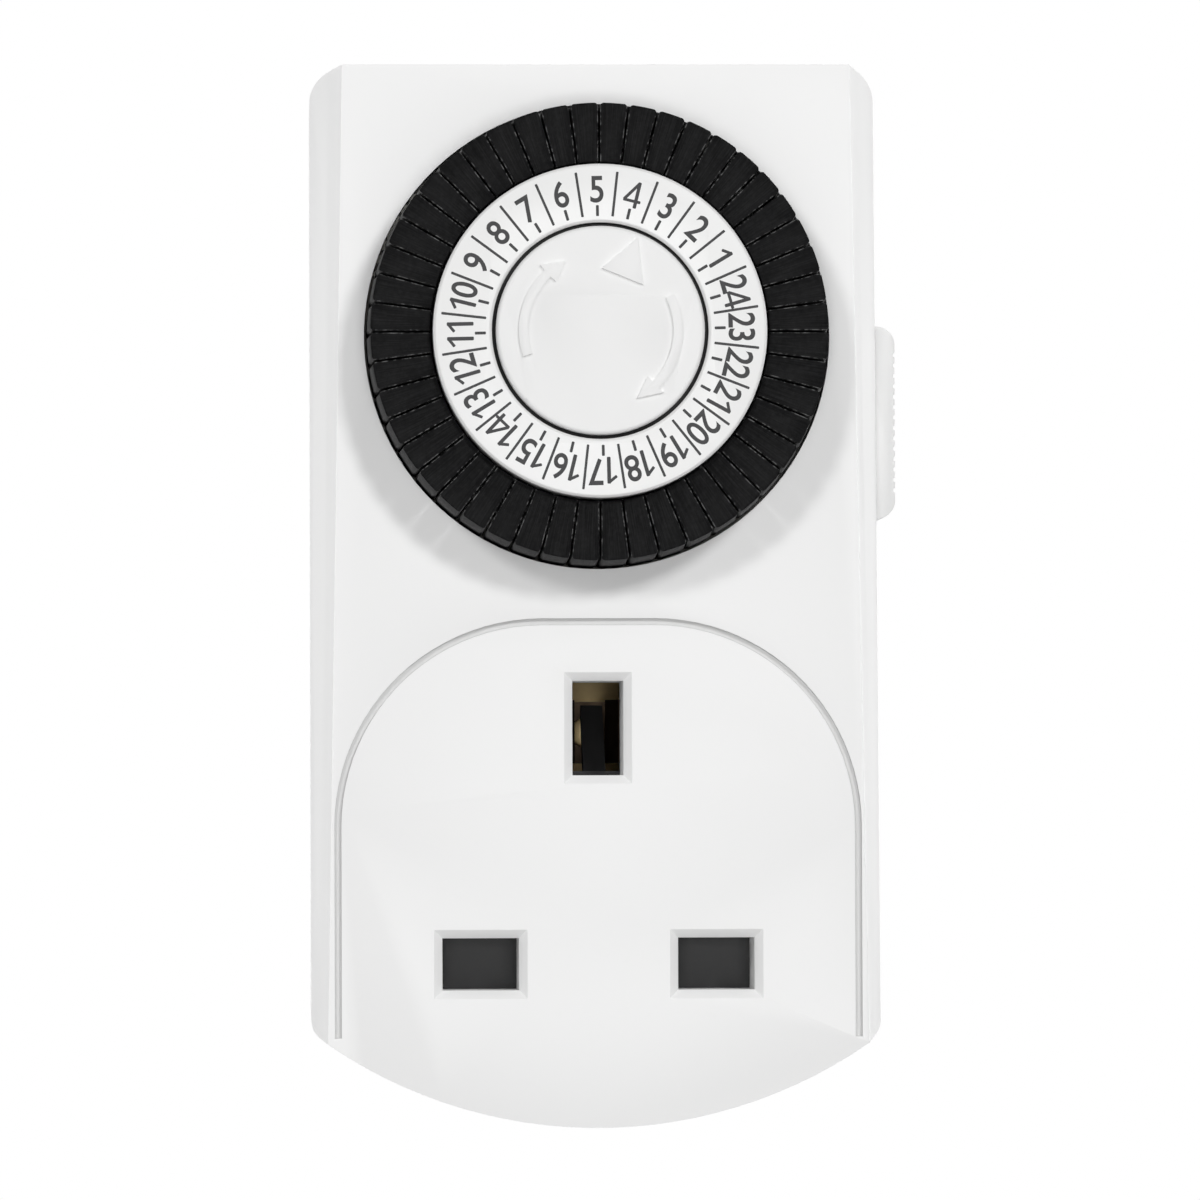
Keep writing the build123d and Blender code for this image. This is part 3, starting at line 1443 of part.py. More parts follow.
# ---------------------------------------------------------------- override slider
cap_x = half_width + slider_gap
cap_middle = slider_cap_bottom + slider_cap_length / 2
plate_x = half_width - wall - slider_gap - slider_plate_thickness
arm_rear = terminal_depth + bridge_gap + bridge_thickness
with BuildPart() as override_slider:
    with BuildSketch(from_left(cap_x)):
        with Locations((-slider_centre_depth, cap_middle)):
            Rectangle(slider_cap_width, slider_cap_length)
    extrude(amount=slider_cap_height)
    outer_ends = override_slider.faces().sort_by(Axis.X)[-1].edges().filter_by(Axis.Y)
    fillet(outer_ends, slider_end_radius)
    # Grip grooves across the thumb face
    with BuildSketch(from_left(cap_x + slider_cap_height - grip_depth)):
        with GridLocations(1, grip_pitch, 1, grip_count):
            with Locations((-slider_centre_depth, cap_middle)):
                Rectangle(slider_cap_width, grip_width)
    extrude(amount=grip_depth, mode=Mode.SUBTRACT)
    with BuildSketch(from_left(plate_x + slider_plate_thickness)):
        with Locations((-slider_centre_depth, slider_neck_centre)):
            Rectangle(slider_neck_width, slider_neck_length)
    extrude(amount=cap_x - plate_x - slider_plate_thickness)
    with BuildSketch(from_left(plate_x)):
        with Locations((-slider_centre_depth, (slider_plate_bottom + slider_plate_top) / 2)):
            Rectangle(slider_plate_width, slider_plate_top - slider_plate_bottom)
    extrude(amount=slider_plate_thickness)
    # Arm that reaches in over the terminal pads
    with BuildSketch(at_depth(arm_rear)):
        plate_corners(
            pad_left - slider_arm_margin,
            slider_plate_bottom,
            plate_x + slider_plate_thickness,
            slider_plate_bottom + slider_arm_length,
        )
    extrude(amount=slider_centre_depth - slider_plate_width / 2 + slider_arm_overlap - arm_rear)
finish(override_slider, "override_slider")

with BuildPart() as override_bridge:
    with BuildSketch(at_depth(terminal_depth + bridge_gap)):
        with Locations(((pad_left + pad_right) / 2, slider_plate_bottom + slider_arm_length / 2)):
            Rectangle(bridge_width, slider_arm_length)
    extrude(amount=bridge_thickness)
finish(override_bridge, "override_bridge")
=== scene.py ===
# %% [markdown]
# # A plug-in day timer
# The object is a white plug-in timer: a turning dial with 48 black push-in tappets above a
# three-slot socket outlet. Its solids come from a CAD model that is loaded as a fixed frame.
# Everything here is in metres, X points right, Z points up and the front faces -Y.

# %% Load the frame
import json
from math import radians, sin, cos

import bpy
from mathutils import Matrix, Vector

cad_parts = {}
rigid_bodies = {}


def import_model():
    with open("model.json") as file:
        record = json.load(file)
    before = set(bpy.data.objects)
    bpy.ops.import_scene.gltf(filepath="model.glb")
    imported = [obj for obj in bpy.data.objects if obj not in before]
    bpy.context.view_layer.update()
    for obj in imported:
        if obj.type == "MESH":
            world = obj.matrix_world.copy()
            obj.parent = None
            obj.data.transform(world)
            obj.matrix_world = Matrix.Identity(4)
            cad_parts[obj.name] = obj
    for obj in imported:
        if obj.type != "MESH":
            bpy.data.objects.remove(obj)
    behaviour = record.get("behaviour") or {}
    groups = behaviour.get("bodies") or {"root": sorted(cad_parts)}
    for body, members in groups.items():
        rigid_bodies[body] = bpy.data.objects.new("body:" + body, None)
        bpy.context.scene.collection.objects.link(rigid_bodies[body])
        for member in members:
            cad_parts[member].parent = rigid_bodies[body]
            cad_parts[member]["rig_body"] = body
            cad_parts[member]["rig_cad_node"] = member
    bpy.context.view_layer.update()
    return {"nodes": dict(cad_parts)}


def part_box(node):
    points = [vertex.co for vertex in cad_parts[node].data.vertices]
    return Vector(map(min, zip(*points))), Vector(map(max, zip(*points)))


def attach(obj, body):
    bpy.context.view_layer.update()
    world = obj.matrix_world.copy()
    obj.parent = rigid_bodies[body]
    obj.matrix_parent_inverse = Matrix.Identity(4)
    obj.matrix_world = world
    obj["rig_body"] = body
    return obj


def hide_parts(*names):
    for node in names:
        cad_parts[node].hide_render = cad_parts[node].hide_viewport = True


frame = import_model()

MM = 0.001

# %% [markdown]
# ## Selecting
# An operator in Blender acts on whatever is selected, and loading leaves every node selected.
# Two small helpers keep this in hand: one clears the selection, one picks a single piece.


# %% Selection helpers
def select_nothing():
    """Back to object mode with nothing selected."""
    if bpy.context.object and bpy.context.object.mode != "OBJECT":
        bpy.ops.object.mode_set(mode="OBJECT")
    bpy.ops.object.select_all(action="DESELECT")


def select_only(piece):
    """Make one piece the only selected object, and the active one."""
    select_nothing()
    piece.select_set(True)
    bpy.context.view_layer.objects.active = piece


select_nothing()

# %% [markdown]
# ## Camera
# A long lens from 0.8 m keeps the front nearly free of perspective. The camera stands a little
# to the left and looks a little to the right, so the left side bevel opens up slightly more than
# the right one. It also stands low and looks up, so the dial's lower rim shows a thin side band.
# A lens of 246 mm on a 36 mm sensor frames about 115 mm of the subject.

# %% Camera
CAMERA_PLACE = (-28.9 * MM, -808 * MM, 0.0)
CAMERA_TURN = (radians(90) + 0.02995, 0.0034, -0.0376)  # level along +Y, plus a little each way
SENSOR_WIDTH, LENS = 36.0, 246.24  # both in mm
NEAREST, FARTHEST = 0.01, 100.0  # what the camera can see, in metres
bpy.ops.object.camera_add(location=CAMERA_PLACE, rotation=CAMERA_TURN)
camera = bpy.context.object
camera.name = "camera"
camera.data.sensor_width = SENSOR_WIDTH
camera.data.lens = LENS
camera.data.clip_start = NEAREST
camera.data.clip_end = FARTHEST
bpy.context.scene.camera = camera
print("camera lens:", camera.data.lens, "mm")

# %% [markdown]
# ## Studio
# The floor is a plain pale disc well below the timer, because the timer hangs from the wall
# socket it is plugged into. Two small lamps in front, to the left and right and a little above,
# give the dial its pair of soft shadows. A soft box straight in front fills them. Boxes at the
# sides stand so far back that they light the side bevels without reaching the front face, so
# that no grey halo forms round the dial. Three more boxes light the top, the underside and the
# back for views from there.
#
# The sky is split in two: the camera sees white, while the timer receives only a dim glow from
# it, which leaves room for the lamps. For the same reason the floor throws no light up at the
# timer. It glows a little of its own instead, so that it stays pale far from the lamps.

# %% Floor
FLOOR_RADIUS, FLOOR_LEVEL = 1.4, -0.2
bpy.ops.mesh.primitive_circle_add(
    vertices=96, radius=FLOOR_RADIUS, fill_type="NGON", location=(0, 0, FLOOR_LEVEL)
)
floor = bpy.context.object
floor.name = "floor"
bpy.ops.object.transform_apply(location=True, rotation=True, scale=True)
floor.visible_diffuse = False
floor.visible_shadow = False

# %% Sky
SEEN_SKY, LIGHTING_SKY = 1.0, 0.08  # how bright the camera sees it, and how bright it lights

world = bpy.data.worlds.new("studio_sky")
bpy.context.scene.world = world
world.use_nodes = True
sky = world.node_tree
sky.nodes.clear()
ray_kind = sky.nodes.new("ShaderNodeLightPath")
sky_choice = sky.nodes.new("ShaderNodeMixShader")
sky_output = sky.nodes.new("ShaderNodeOutputWorld")
for choice, strength in ((1, LIGHTING_SKY), (2, SEEN_SKY)):
    white_sky = sky.nodes.new("ShaderNodeBackground")
    white_sky.inputs["Color"].default_value = (1, 1, 1, 1)
    white_sky.inputs["Strength"].default_value = strength
    sky.links.new(white_sky.outputs["Background"], sky_choice.inputs[choice])
sky.links.new(ray_kind.outputs["Is Camera Ray"], sky_choice.inputs["Fac"])
sky.links.new(sky_choice.outputs["Shader"], sky_output.inputs["Surface"])
bpy.context.scene.view_settings.view_transform = "Standard"
print("sky strengths:", SEEN_SKY, "seen and", LIGHTING_SKY, "as a light")

# %% Lamps
AIM_HEIGHT = 0.04  # every lamp points at this height on the timer's axis
LAMPS = (
    # name, azimuth and elevation in degrees from the front, distance, size, power in watts
    ("left_lamp", -21, 20.5, 1.0, 0.14, 2.1),
    ("right_lamp", 20, 21, 1.0, 0.14, 3.15),
    ("front_box", 0, -4, 1.1, 0.34, 5.0),
    ("left_box", -108, 2, 0.95, 0.5, 6.6),
    ("right_box", 108, 2, 0.95, 0.5, 6.9),
    ("top_box", 0, 108, 0.95, 0.5, 3.0),
    ("under_box", 0, -108, 0.95, 0.5, 2.5),
    ("back_box", 180, 15, 1.1, 0.9, 4.0),
)


def soft_lamp(name, azimuth, elevation, distance, size, power):
    """A square area lamp that shines at the timer from this direction."""
    side, height = radians(azimuth), radians(elevation)
    place = (
        distance * cos(height) * sin(side),
        -distance * cos(height) * cos(side),
        distance * sin(height) + AIM_HEIGHT,
    )
    bpy.ops.object.light_add(type="AREA", location=place, rotation=(radians(90) - height, 0, side))
    lamp = bpy.context.object
    lamp.name = name
    lamp.data.shape = "SQUARE"
    lamp.data.size = size
    lamp.data.energy = power
    lamp.visible_camera = False


for lamp_values in LAMPS:
    soft_lamp(*lamp_values)
print("lamps:", len(LAMPS))

# %% [markdown]
# ## A small language for materials
# Blender's materials are graphs of nodes. Written out node by node, a sum such as 1 - mask takes
# four lines. The class below wraps a node's socket and gives it Python's operators, so that each
# step of a sum adds its own Math node. A second class holds one material and makes its nodes.


# %% Sockets with operators
class Reading:
    """A number that varies over a surface, such as a noise or a coordinate."""

    def __init__(self, finish, socket):
        self.finish = finish
        self.socket = socket

    def math_node(self, operation, first, second):
        return self.finish.node("ShaderNodeMath", {"operation": operation}, {0: first, 1: second})

    def __add__(self, other):
        return self.math_node("ADD", self, other)

    def __sub__(self, other):
        return self.math_node("SUBTRACT", self, other)

    def __rsub__(self, other):
        return self.math_node("SUBTRACT", other, self)

    def __mul__(self, other):
        return self.math_node("MULTIPLY", self, other)

    def __pow__(self, other):
        return self.math_node("POWER", self, other)

    def __abs__(self):
        return self.math_node("ABSOLUTE", self, 0.0)

    def at_least(self, other):
        return self.math_node("MAXIMUM", self, other)

    def wrapped(self, period):
        """Distance along a repeating pattern, centred on zero."""
        return self.finish.node(
            "ShaderNodeMath", {"operation": "WRAP"}, {0: self, 1: period / 2, 2: -period / 2}
        )

    def between(self, low, high):
        """0 below low, 1 above high, and a smooth step from one to the other."""
        return self.finish.node(
            "ShaderNodeMapRange",
            {"interpolation_type": "SMOOTHSTEP"},
            {"Value": self, "From Min": low, "From Max": high},
        )


# %% One material and its nodes
MIX_FACTOR, MIX_FIRST, MIX_SECOND = 0, 6, 7  # input sockets of a Mix node that mixes colours
MIX_RESULT = 2  # its output socket for colours
DIAL_CENTRE = (0.0, 0.048)  # X and Z of the axis the dial turns on
HOURS = 24
HOUR_ANGLE = radians(360 / HOURS)


class Finish:
    """A material with one Principled shader."""

    def __init__(self, name, **constants):
        self.material = bpy.data.materials.new(name)
        self.material.use_nodes = True
        self.tree = self.material.node_tree
        self.tree.nodes.clear()
        self.shader = self.tree.nodes.new("ShaderNodeBsdfPrincipled")
        output = self.tree.nodes.new("ShaderNodeOutputMaterial")
        self.tree.links.new(self.shader.outputs["BSDF"], output.inputs["Surface"])
        for socket_name, value in constants.items():
            self.shader.inputs[socket_name.replace("_", " ")].default_value = value

    def node(self, kind, settings=None, inputs=None, output=0):
        """Make a node, set it up, fill its sockets, and return one of its outputs."""
        made = self.tree.nodes.new(kind)
        for setting, value in (settings or {}).items():
            setattr(made, setting, value)
        for socket_name, value in (inputs or {}).items():
            self.fill(made.inputs[socket_name], value)
        return Reading(self, made.outputs[output])

    def fill(self, socket, value):
        if isinstance(value, Reading):
            self.tree.links.new(value.socket, socket)
        else:
            socket.default_value = value

    def feed(self, **sockets):
        """Connect readings to the shader's own sockets."""
        for socket_name, value in sockets.items():
            self.fill(self.shader.inputs[socket_name.replace("_", " ")], value)

    def place(self):
        return self.node("ShaderNodeTexCoord", output="Object")

    def axes(self):
        """The three object coordinates as separate readings."""
        place = self.place()
        split = self.tree.nodes.new("ShaderNodeSeparateXYZ")
        self.tree.links.new(place.socket, split.inputs[0])
        return [Reading(self, socket) for socket in split.outputs]

    def dial_angle_and_radius(self):
        """Angle round the dial's axis and distance from it, for turned surfaces."""
        across, _, upwards = self.axes()
        up_from_centre = upwards - DIAL_CENTRE[1]
        angle = up_from_centre.math_node("ARCTAN2", up_from_centre, across)
        return angle, (across * across + up_from_centre * up_from_centre) ** 0.5

    def vector(self, x, y, z):
        return self.node("ShaderNodeCombineXYZ", inputs={"X": x, "Y": y, "Z": z})

    def noise(self, size, detail=2.0, roughness=0.5, vector=None):
        """Noise whose lumps are about this many metres across."""
        return self.node(
            "ShaderNodeTexNoise",
            inputs={
                "Vector": vector or self.place(),
                "Scale": 1.0 / size,
                "Detail": detail,
                "Roughness": roughness,
            },
        )

    def blend_colours(self, factor, first, second):
        """Mix two colours, of which the first may itself be a mix."""
        base = first if isinstance(first, Reading) else (*first, 1.0)
        return self.node(
            "ShaderNodeMix",
            {"data_type": "RGBA"},
            {MIX_FACTOR: factor, MIX_FIRST: base, MIX_SECOND: (*second, 1.0)},
            output=MIX_RESULT,
        )

    def relief(self, height, depth, strength=1.0):
        """Bump of this many metres between height 0 and height 1."""
        bump = self.node(
            "ShaderNodeBump", inputs={"Height": height, "Distance": depth, "Strength": strength}
        )
        self.feed(Normal=bump)


print("material classes ready")

# %% [markdown]
# ## Moulded plastic
# Injection-moulded plastic has an almost even colour, a faint cloudiness several centimetres
# wide, and a spark-eroded grain of about a sixth of a millimetre that takes the hard shine off.
# One recipe makes every moulded part; colour, gloss and grain are its ingredients.
#
# Two places get painted shade, darker than the even studio light alone would leave them. The
# dial's recess under the cap is painted nearly black as shade, wherever the dial lies inside the
# ring and behind the ring's front. The arch-shaped groove of the front cover is painted grey as
# shade. Each has a mask, which is 1 inside and 0 elsewhere, made from object coordinates.

# %% Places painted with shade
RING_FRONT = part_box("dial_disc")[0].y
RECESS_RADIUS = 10.15 * MM
# painted shade: the recess under the cap is coloured nearly black
RECESS_PAINTED_SHADE = (0.02, 0.02, 0.02)

FACE_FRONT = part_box("front_cover")[0].y
GROOVE_SIDE = 24.83 * MM  # from the middle to the groove's outer wall
GROOVE_BOTTOM, GROOVE_TOP = -18.2 * MM, 21.7 * MM
SLOTS_SIDE, SLOTS_TOP = 16.0 * MM, 17.1 * MM  # the slots and their chamfers stay out of it
# painted shade: the groove is coloured grey
GROOVE_PAINTED_SHADE = (0.58, 0.58, 0.578)


def recess_mask(finish):
    """1 on the dial inside its ring and behind the ring's front, where shade is painted."""
    _, radius = finish.dial_angle_and_radius()
    depth = finish.axes()[1]
    inside_ring = 1.0 - radius.between(RECESS_RADIUS, RECESS_RADIUS + 0.1 * MM)
    return inside_ring * depth.between(RING_FRONT + 0.2 * MM, RING_FRONT + 0.6 * MM)


def groove_mask(finish):
    """1 inside the arch-shaped groove, where shade is painted, 0 on the face, the side bevels and
    round the slots.
    """
    across, depth, up = finish.axes()
    sideways = abs(across)
    below_face = depth.between(FACE_FRONT + 0.1 * MM, FACE_FRONT + 0.3 * MM)
    above_floor = 1.0 - depth.between(FACE_FRONT + 0.64 * MM, FACE_FRONT + 0.68 * MM)
    within_sides = 1.0 - sideways.between(GROOVE_SIDE, GROOVE_SIDE + 0.02 * MM)
    above_bottom = up.between(GROOVE_BOTTOM - 0.1 * MM, GROOVE_BOTTOM)
    below_top = 1.0 - up.between(GROOVE_TOP, GROOVE_TOP + 0.1 * MM)
    beside_slots = sideways.between(SLOTS_SIDE, SLOTS_SIDE + 0.1 * MM)
    above_slots = up.between(SLOTS_TOP, SLOTS_TOP + 0.1 * MM)
    in_band = below_face * above_floor * within_sides * (above_bottom * below_top)
    return in_band * beside_slots.at_least(above_slots)


# %% Moulded plastic recipe
CLOUD_SIZE = 22 * MM
GRAIN_SIZE, GRAIN_DEPTH = 0.16 * MM, 0.002 * MM
CLOUD_GLOSS, GRAIN_GLOSS = 0.06, 0.08  # how much each of them varies the roughness


def moulded(name, colour, shade, roughness, grain=GRAIN_SIZE, painted_shade_place=None):
    """Plastic clouded between this colour and its shade. A painted shade place is a pair of mask
    and the colour of the shade painted there.
    """
    finish = Finish(name, Specular_IOR_Level=0.4)
    clouds = finish.noise(CLOUD_SIZE, detail=3.0)
    flecks = finish.noise(grain, detail=1.0)
    dark = tuple(channel * shade for channel in colour)
    plastic = finish.blend_colours(clouds.between(0.25, 0.75), dark, colour)
    # painted shade: inside the mask the colour turns to a darker one that stands in for shade
    if painted_shade_place:
        mask, painted_shade_colour = painted_shade_place
        plastic = finish.blend_colours(mask(finish), plastic, painted_shade_colour)
    smoothest = roughness - (CLOUD_GLOSS + GRAIN_GLOSS) / 2
    finish.feed(
        Base_Color=plastic,
        Roughness=clouds * CLOUD_GLOSS + flecks * GRAIN_GLOSS + smoothest,
    )
    finish.relief(flecks, GRAIN_DEPTH)
    return finish.material


white_shell = moulded(
    "white_shell", (0.845, 0.845, 0.843), 0.985, 0.52, painted_shade_place=(groove_mask, GROOVE_PAINTED_SHADE)
)
dial_white = moulded(
    "dial_white",
    (0.78, 0.78, 0.775),
    0.975,
    0.36,
    grain=0.1 * MM,
    painted_shade_place=(recess_mask, RECESS_PAINTED_SHADE),
)
cap_white = moulded("cap_white", (0.775, 0.775, 0.772), 0.985, 0.48)
slide_white = moulded("slide_white", (0.73, 0.73, 0.727), 0.985, 0.4)
sleeve_black = moulded("sleeve_black", (0.018, 0.018, 0.019), 0.8, 0.5)
moulded("carrier_grey", (0.34, 0.33, 0.31), 0.93, 0.55)
moulded("gear_natural", (0.8, 0.785, 0.72), 0.95, 0.4)
moulded("shutter_grey", (0.014, 0.014, 0.0145), 0.8, 0.6)
moulded("lead_sheath", (0.09, 0.1, 0.16), 0.9, 0.45)
print("moulded finishes made")

# %% [markdown]
# ## Tappet black
# The tappets are black plastic with fine streaks that run outwards from the dial's centre. Their
# long edges, which fingers and pens push against, are scuffed lighter in places; the same lighter
# band also stands in for the glints of light along the edges, as a painted highlight. Both follow
# the angle round the dial, so the recipe turns the object coordinates into an angle and a radius.

# %% Tappet black
TAPPET_ANGLE = HOUR_ANGLE / 2  # from one tappet to the next
STREAKS_ROUND = 190  # streaks per radian round the dial
STREAKS_OUTWARDS, STREAKS_INWARDS = 260, 200  # streaks per metre along the other two ways
STREAK_DEPTH = 0.03 * MM
SCUFF_SIZE = 0.5 * MM
# the lighter band along each tappet's long edges is wear and a painted highlight
WEAR_AND_GLINT_FULLY, WEAR_AND_GLINT_NO_MORE = 0.15 * MM, 0.22 * MM  # distances from a tappet's edge
DEEP_BLACK = (0.002, 0.002, 0.0022)
WASHED_BLACK = (0.013, 0.013, 0.0135)
WEAR_AND_GLINT_GREY = (0.13, 0.13, 0.13)

tappet_finish = Finish("tappet_black", Specular_IOR_Level=0.04)
turn_angle, radius = tappet_finish.dial_angle_and_radius()
streaks = tappet_finish.noise(
    1.0,
    detail=3.0,
    roughness=0.6,
    vector=tappet_finish.vector(
        turn_angle * STREAKS_ROUND,
        radius * STREAKS_OUTWARDS,
        tappet_finish.axes()[1] * STREAKS_INWARDS,
    ),
)
scuffs = tappet_finish.noise(SCUFF_SIZE, detail=4.0, roughness=0.7)
edge_distance = abs(turn_angle.wrapped(TAPPET_ANGLE)) * radius
# the edge band is partly wear and partly a painted highlight for the edge glints
near_edge = 1.0 - edge_distance.between(WEAR_AND_GLINT_FULLY, WEAR_AND_GLINT_NO_MORE)
wear_and_glint_edge = near_edge * scuffs.between(0.46, 0.64)
washed_out = (streaks * 0.6 + scuffs * 0.4).between(0.38, 0.75)
streaked = tappet_finish.blend_colours(washed_out, DEEP_BLACK, WASHED_BLACK)
tappet_finish.feed(
    Base_Color=tappet_finish.blend_colours(wear_and_glint_edge, streaked, WEAR_AND_GLINT_GREY),
    Roughness=streaks * 0.18 + scuffs * 0.12 + 0.26,
)
tappet_finish.relief(streaks, STREAK_DEPTH, strength=0.7)
tappet_black = tappet_finish.material
print("tappet finish made")

# %% [markdown]
# ## Metals
# Drawn brass and rolled steel carry fine lines along the way they were drawn, and a slow cloud
# of tarnish or of zinc crystals. Stretching a noise along one axis makes such lines. The earth
# contact is painted a dark bronze as shade, so that its slot looks black from the front.

# %% Metal recipe
PIN_STRETCH = (1.0, 0.04, 1.0)  # along the pins
STRIP_STRETCH = (0.05, 1.0, 1.0)  # across the timer
SHEET_STRETCH = (1.0, 1.0, 0.05)  # up and down the motor
LINE_SIZE, LINE_DEPTH = 0.12 * MM, 0.002 * MM
TARNISH_SIZE = 3.5 * MM
LINE_GLOSS, TARNISH_GLOSS = 0.16, 0.14  # how much each of them varies the roughness


def drawn_metal(name, bright, dull, roughness, stretch=PIN_STRETCH):
    """Metal with lines along one axis, clouded between a bright and a dull colour."""
    finish = Finish(name, Metallic=1.0)
    x, y, z = finish.axes()
    stretched = finish.vector(x * stretch[0], y * stretch[1], z * stretch[2])
    lines = finish.noise(LINE_SIZE, detail=3.0, vector=stretched)
    clouds = finish.noise(TARNISH_SIZE, detail=4.0)
    smoothest = roughness - (LINE_GLOSS + TARNISH_GLOSS) / 2
    finish.feed(
        Base_Color=finish.blend_colours(clouds.between(0.3, 0.75), bright, dull),
        Roughness=lines * LINE_GLOSS + clouds * TARNISH_GLOSS + smoothest,
    )
    finish.relief(lines, LINE_DEPTH)
    return finish.material


plug_brass = drawn_metal("plug_brass", (0.86, 0.68, 0.36), (0.7, 0.52, 0.27), 0.34)
drawn_metal("spring_bronze", (0.72, 0.5, 0.27), (0.6, 0.4, 0.22), 0.4, STRIP_STRETCH)
# painted shade: the earth contact is darkened so that its slot looks black
drawn_metal("bronze_painted_shade", (0.13, 0.095, 0.065), (0.07, 0.05, 0.035), 0.5, STRIP_STRETCH)
zinc_steel = drawn_metal("zinc_steel", (0.66, 0.67, 0.68), (0.54, 0.55, 0.57), 0.38)
drawn_metal("motor_sheet", (0.62, 0.62, 0.61), (0.5, 0.5, 0.5), 0.42, SHEET_STRETCH)
print("metals made")

# %% [markdown]
# ## Copper winding, printing ink and floor
# A coil shows its turns side by side, so its bumps are bands along the coil's axis, and its copper
# is painted darker between the turns as shade. The ink of the dial's hours is a flat dark grey
# that is a little uneven. The floor's white comes last.

# %% Copper winding
WIRE_PITCH, WIRE_BULGE = 0.18 * MM, 0.04 * MM
# painted shade: the copper between the turns is coloured darker
SHADE_BETWEEN_WIRES, WIRE_COPPER = (0.2, 0.07, 0.03), (0.62, 0.27, 0.12)

winding = Finish("copper_winding", Metallic=0.9, Roughness=0.3)
wire_place = winding.axes()[1].wrapped(WIRE_PITCH)
wire_height = 1.0 - abs(wire_place).between(0.0, WIRE_PITCH / 2)
winding.feed(Base_Color=winding.blend_colours(wire_height, SHADE_BETWEEN_WIRES, WIRE_COPPER))
winding.relief(wire_height, WIRE_BULGE)
print("winding made")

# %% Printing ink
INK_BLACK, INK_WORN = (0.012, 0.012, 0.013), (0.03, 0.03, 0.032)
INK_PATCH = 0.25 * MM

ink_finish = Finish("dial_ink", Specular_IOR_Level=0.3)
ink_cover = ink_finish.noise(INK_PATCH, detail=3.0)
ink_finish.feed(
    Base_Color=ink_finish.blend_colours(ink_cover, INK_BLACK, INK_WORN),
    Roughness=ink_cover * 0.2 + 0.4,
)
dial_ink = ink_finish.material
print("ink made")

# %% Floor white
FLOOR_GLOW = 0.4
FLOOR_PALE, FLOOR_PALER = (0.88, 0.88, 0.88), (0.9, 0.9, 0.9)
FLOOR_PATCH = 0.3

floor_finish = Finish(
    "floor_white", Roughness=0.8, Emission_Color=(1, 1, 1, 1), Emission_Strength=FLOOR_GLOW
)
floor_clouds = floor_finish.noise(FLOOR_PATCH, detail=2.0)
floor_finish.feed(Base_Color=floor_finish.blend_colours(floor_clouds, FLOOR_PALE, FLOOR_PALER))
floor.data.materials.append(floor_finish.material)
print("finishes made:", len(bpy.data.materials))

# %% [markdown]
# ## Finishes for the CAD nodes
# A node whose shape is right keeps its solid and only gets a finish, in its material slots.

# %% Give each CAD node its finish
NODE_FINISHES = {
    "zinc_steel": [
        "plate_screws",
        "dial_post",
        "reduction_axle",
        "follower_pin",
        "shutter_spring",
        "follower_spring",
    ],
    "plug_brass": ["line_feed_bar", "line_outlet_bar"],
    "spring_bronze": ["neutral_socket", "line_socket", "contact_arm", "override_bridge"],
    "bronze_painted_shade": ["earth_socket"],
    "motor_sheet": ["motor_can", "motor_cover"],
    "copper_winding": ["motor_coil"],
    "carrier_grey": ["contact_carrier", "switch_base", "gear_plate"],
    "gear_natural": ["reduction_gear", "motor_pinion", "follower_lever"],
    "shutter_grey": ["shutter"],
    "lead_sheath": ["motor_leads"],
    "tappet_black": ["tappet_carrier"],
}
for finish_name, nodes in NODE_FINISHES.items():
    for node in nodes:
        for material_slot in frame["nodes"][node].material_slots:
            material_slot.material = bpy.data.materials[finish_name]
print("nodes with a finish:", sum(len(nodes) for nodes in NODE_FINISHES.values()))

# %% [markdown]
# ## Soft edges for the outer parts
# No moulded or stamped edge is perfectly sharp: a tiny round catches the light and makes the
# bright lines along a real housing. The CAD solids have sharp edges, so each outer part is
# copied, its loose triangles are merged into clean faces, and a Bevel modifier rounds every edge
# that turns by more than 30 degrees. The copy then stands in for the node.


# %% Soft-edged copy of a node
SAME_POINT = 0.001 * MM  # points this close become one
SAME_PLANE = radians(0.5)  # faces that meet flatter than this become one
SHARP_EDGE = radians(30)
SMOOTH_BELOW = radians(32)


def soft_copy(node, name, finish, edge):
    """Copy a CAD node, round its edges by this many metres, and let the copy replace it."""
    body = frame["nodes"][node]["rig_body"]
    select_only(frame["nodes"][node])
    bpy.ops.object.duplicate()
    piece = bpy.context.object
    piece.name = name
    piece.data.name = name
    del piece["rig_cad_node"]
    bpy.ops.object.mode_set(mode="EDIT")
    bpy.ops.mesh.select_all(action="SELECT")
    bpy.ops.mesh.remove_doubles(threshold=SAME_POINT)
    bpy.ops.mesh.dissolve_limited(angle_limit=SAME_PLANE)
    bpy.ops.object.mode_set(mode="OBJECT")
    bpy.ops.object.modifier_add(type="BEVEL")
    rounding = piece.modifiers[-1]
    rounding.width = edge
    rounding.segments = 2
    rounding.limit_method = "ANGLE"
    rounding.angle_limit = SHARP_EDGE
    rounding.use_clamp_overlap = True
    bpy.ops.object.modifier_apply(modifier=rounding.name)
    bpy.ops.object.shade_smooth_by_angle(angle=SMOOTH_BELOW)
    piece.data.materials.clear()
    piece.data.materials.append(finish)
    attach(piece, body)
    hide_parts(node)
    return piece


